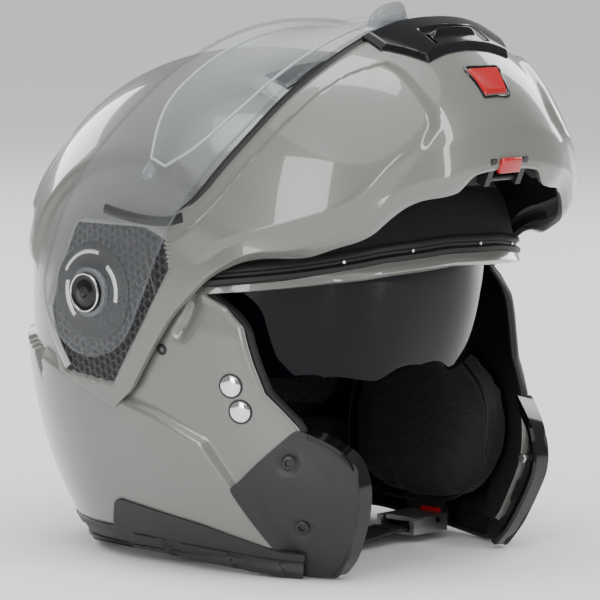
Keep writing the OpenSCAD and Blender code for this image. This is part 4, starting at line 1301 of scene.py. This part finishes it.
def swell(bm, name, cap, pressure=4.0, voxel=5.0):
    """Remeshes a closed form, lets cloth under pressure swell it and caps how far it moves."""
    mesh = bpy.data.meshes.new(name)
    bm.to_mesh(mesh)
    bm.free()
    obj = bpy.data.objects.new(name, mesh)
    bpy.context.scene.collection.objects.link(obj)
    remesh = obj.modifiers.new("remesh", "REMESH")
    remesh.mode, remesh.voxel_size = "VOXEL", voxel * MM
    graph = bpy.context.evaluated_depsgraph_get()
    settled = bpy.data.meshes.new_from_object(obj.evaluated_get(graph))
    obj.modifiers.clear()
    obj.data = settled
    start = [v.co.copy() for v in settled.vertices]
    cloth = obj.modifiers.new("cloth", "CLOTH")
    cloth.settings.use_pressure, cloth.settings.uniform_pressure_force = True, pressure
    cloth.settings.effector_weights.gravity = 0
    cloth.settings.quality = 5
    for f in range(1, CLOTH_FRAMES + 1):
        bpy.context.scene.frame_set(f)
    graph = bpy.context.evaluated_depsgraph_get()
    swollen = [v.co.copy() for v in obj.evaluated_get(graph).data.vertices]
    obj.modifiers.clear()
    bpy.context.scene.frame_set(1)
    for v, a, b in zip(settled.vertices, start, swollen):
        move = b - a
        v.co = a + move * min(1.0, cap * MM / max(move.length, 1e-9))
    result = bmesh.new()
    result.from_mesh(settled)
    bpy.data.objects.remove(obj)
    bmesh.ops.smooth_vert(result, verts=result.verts, factor=0.5, use_axis_x=True, use_axis_y=True,
                          use_axis_z=True)
    return result


def plain_x(y, z):
    return shell_x(y, z, 0) + sunk(y, z)


def pad_outline(scale):
    return [(PAD_MIDDLE[0] + (y - PAD_MIDDLE[0]) * scale, PAD_MIDDLE[1] + (z - PAD_MIDDLE[1]) * scale)
            for y, z in PAD]


def pad_shape(scale):
    """The pad's closed form, a little smaller than its space because it swells."""
    outline = pad_outline(scale)
    bm = cut_sheet(outline, 5, 10)
    face = bm.faces[:]
    stand_off(bm, lambda y, z: plain_x(y, z) - 33 + 5 * (1 - smooth(inside_by(y, z, outline) / 14)))
    moved = bmesh.ops.extrude_face_region(bm, geom=face)
    for v in [g for g in moved["geom"] if isinstance(g, bmesh.types.BMVert)]:
        v.co.x = (plain_x(v.co.y / MM, v.co.z / MM) - 11) * MM
    out_and_whole(bm)
    return bm


for side, label in ((1, "left"), (-1, "right")):
    bm = swell(pad_shape(0.95), "cheek_pad_cover_" + label, 5)
    seam = [(plain_x(y, z) - 29.5, y, z) for y, z in pad_outline(0.93) + pad_outline(0.93)[:1]]
    piping = rail(seam, oval(1.9, 1.9, 8), steps=5, across=(1, 0, 0), ring=True)
    for part in (bm, piping):
        if side < 0:
            bmesh.ops.scale(part, verts=part.verts, vec=(-1, 1, 1))
        out_and_whole(part)
    pad = piece("cheek_pad_cover_" + label, bm, "helmet", "fabric", knit, smooth_levels=1, angle=80)
    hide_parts("cheek_pad_" + label)
    piece("cheek_pad_piping_" + label, piping, "helmet", "fabric", rubber)


def neck_place(u, v):
    a = math.radians(mix(86, 274, u))
    turn = 2 * math.pi * v
    slim = min(1.0, (0.2 + 14 * min(u, 1 - u))) ** 0.5
    up, out = (math.copysign(abs(part) ** 0.8, part) for part in (math.sin(turn), math.cos(turn)))
    z = 36 + 19 * slim * up
    return at(a, z, plain_r(a, z, 0) - 17.5 - 9 * slim * out)


bm = grid(70, 18, neck_place)
bmesh.ops.remove_doubles(bm, verts=bm.verts, dist=1e-6)
bmesh.ops.holes_fill(bm, edges=[e for e in bm.edges if e.is_boundary], sides=0)
out_and_whole(bm)
roll = piece("neck_roll_cover", swell(bm, "neck_roll_cover", 3), "helmet", "fabric", knit, smooth_levels=1,
             angle=80)
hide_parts("neck_roll")
SEAM_Z = 52.5
roll_seam = rail([at(a, SEAM_Z, plain_r(a, SEAM_Z, 0) - 21) for a in map(math.radians, range(88, 273, 8))],
                 oval(1.8, 1.8, 8), steps=2)
piece("neck_roll_piping", roll_seam, "helmet", "fabric", rubber)


# Top vent, rear spoiler and extractor: painted fairings glued to the dome, with black
# sliders and grilles.
def lift(x, y, d):
    wide, long = HALF_WIDTH - d, (BROW_REACH if y < 0 else BACK_REACH) - d
    share = ((abs(x) / wide) ** PLAN_POWER + (abs(y) / long) ** PLAN_POWER) ** (1 / PLAN_POWER)
    return WIDEST_Z + (CROWN_RISE - d) * bulge(share, DOME_POWER)


def top_vent_place(u, v):
    x, y = mix(-58, 58, u), mix(-70, -18, v)
    bow = 7 * (1 - (x / 58) ** 2)
    y -= bow * (1 - v)
    edge = min(1, (1 - abs(2 * u - 1)) * 5, v * 9, (1 - v) * 2.2)
    return (x, y, lift(x, y, 0) + 0.1 + 3.2 * smooth(clamp01(edge)))


bm = grid(90, 44, top_vent_place)
face_out(bm)
top_vent = piece("top_vent_fairing", bm, "helmet", "shell_paint", paint, wall=1.2, bevel=0.3)
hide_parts("top_vent_base")


def top_slide_place(u, v):
    x = mix(-50, 50, u)
    y = mix(-62, -46, v) - 6 * (1 - (x / 50) ** 2)
    ends = (1 - abs(2 * u - 1) ** 8) ** 0.5
    lip = 2.4 * math.exp(-((v - 0.1) / 0.13) ** 2) * ends
    return (x, y, lift(x, y, 0) + 3.2 + (0.9 + lip) * ends * (1 - 0.5 * v))


bm = grid(90, 20, top_slide_place)
face_out(bm)
top_slide = piece("top_vent_slide_lip", bm, "top_vent_slider", "gloss_black", gloss_black, wall=1.2,
                  bevel=0.3)
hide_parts("top_vent_slider")


def spoiler_place(u, v):
    a = math.radians(mix(126, 234, u))
    z = mix(174, 219, v)
    ends = smooth((1 - abs(2 * u - 1)) * 5)
    step = 3.0 * ends * smooth(v / 0.14) * (1 - smooth((v - 0.3) / 0.7))
    return at(a, z, plain_r(a, z, 0) + 0.1 + step)


bm = grid(110, 40, spoiler_place)
face_out(bm)
spoiler = piece("rear_spoiler_fairing", bm, "helmet", "shell_paint", paint, wall=1.5, bevel=0.4)
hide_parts("rear_spoiler")


def extractor_place(u, v):
    a = math.radians(mix(156, 204, u))
    z = mix(149, 173, v)
    edge = min(1, (1 - abs(2 * u - 1)) * 8, v * 6, (1 - v) * 6)
    slats = 1.1 * (0.5 + 0.5 * math.cos((z - 149) * 2 * math.pi / 5)) * smooth((1 - abs(2 * u - 1)) * 8 - 0.6)
    return at(a, z, plain_r(a, z, 0) + 0.1 + 1.7 * smooth(clamp01(edge)) - slats)


bm = grid(70, 60, extractor_place)
face_out(bm)
extractor = piece("rear_extractor_grille", bm, "helmet", "matte_black", matte_black, wall=1.2, bevel=0.3)
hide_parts("rear_extractor")


# Chin strap: black woven webbing sewn to the rivets' hangers, and its steel ratchet buckle.
STRAP_W, STRAP_T = 20, 2
webbing = Finish("black_webbing", (0.010, 0.010, 0.010), 0.7)
woven = webbing.node("ShaderNodeMapping", None, Vector=webbing.place(), Rotation=(0, 0, 0.78),
                     Scale=(700, 700, 500))
ribs = webbing.node("ShaderNodeTexWave", {"wave_type": "BANDS", "bands_direction": "X"}, output="Fac",
                    Vector=woven, Scale=0.5, Distortion=0.6)
# Painted shade: the grooves between the woven ribs are coloured darker and the rib tops lighter, in step with
# the bump.
webbing.set(webbing.shader, "Base Color", webbing.blend(ribs, (0.006, 0.006, 0.006), (0.026, 0.026, 0.027)))
webbing = webbing.bump(ribs, 0.3).material
left_path = [(84, -38, 34), (82, -44, 20), (78, -54, 12), (71, -61, 9), (63, -62, 9)]
right_path = [(-82, -32, 34), (-76, -38, 20), (-64, -48, 11), (-44, -56, 6), (-15, -61, 4.5), (12, -62, 6),
              (34, -62, 8)]
for label, path in (("left", left_path), ("right", right_path)):
    bm = rail(path, oval(STRAP_W - 0.4, STRAP_T, 16, 0.35), steps=8, across=(0, 1, 0))
    strap = piece("strap_webbing_" + label, bm, "helmet", "webbing", webbing)
    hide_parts("strap_" + label)


# What is left of the CAD model, mostly pins, hooks and the buckle, takes a finish of the
# same kinds. The lever's pin is blackened, the other pins are bare steel.
by_slot = {"matte_black": matte_black, "gloss_black": gloss_black, "steel": steel, "chrome": chrome,
           "red": red, "shell_paint": paint, "rubber": rubber, "webbing": webbing, "fabric": knit,
           "foam": foam, "clear": clear_edge, "smoke": smoke, "silver_paint": silver}
for part in frame["record"]["subparts"]:
    node = frame["nodes"][part["node"]]
    if not node.hide_render:
        node.data.materials.clear()
        finish = screw_black if part["node"] == "lever_pin" else by_slot[part["material_slot"]]
        node.data.materials.append(finish)

import json
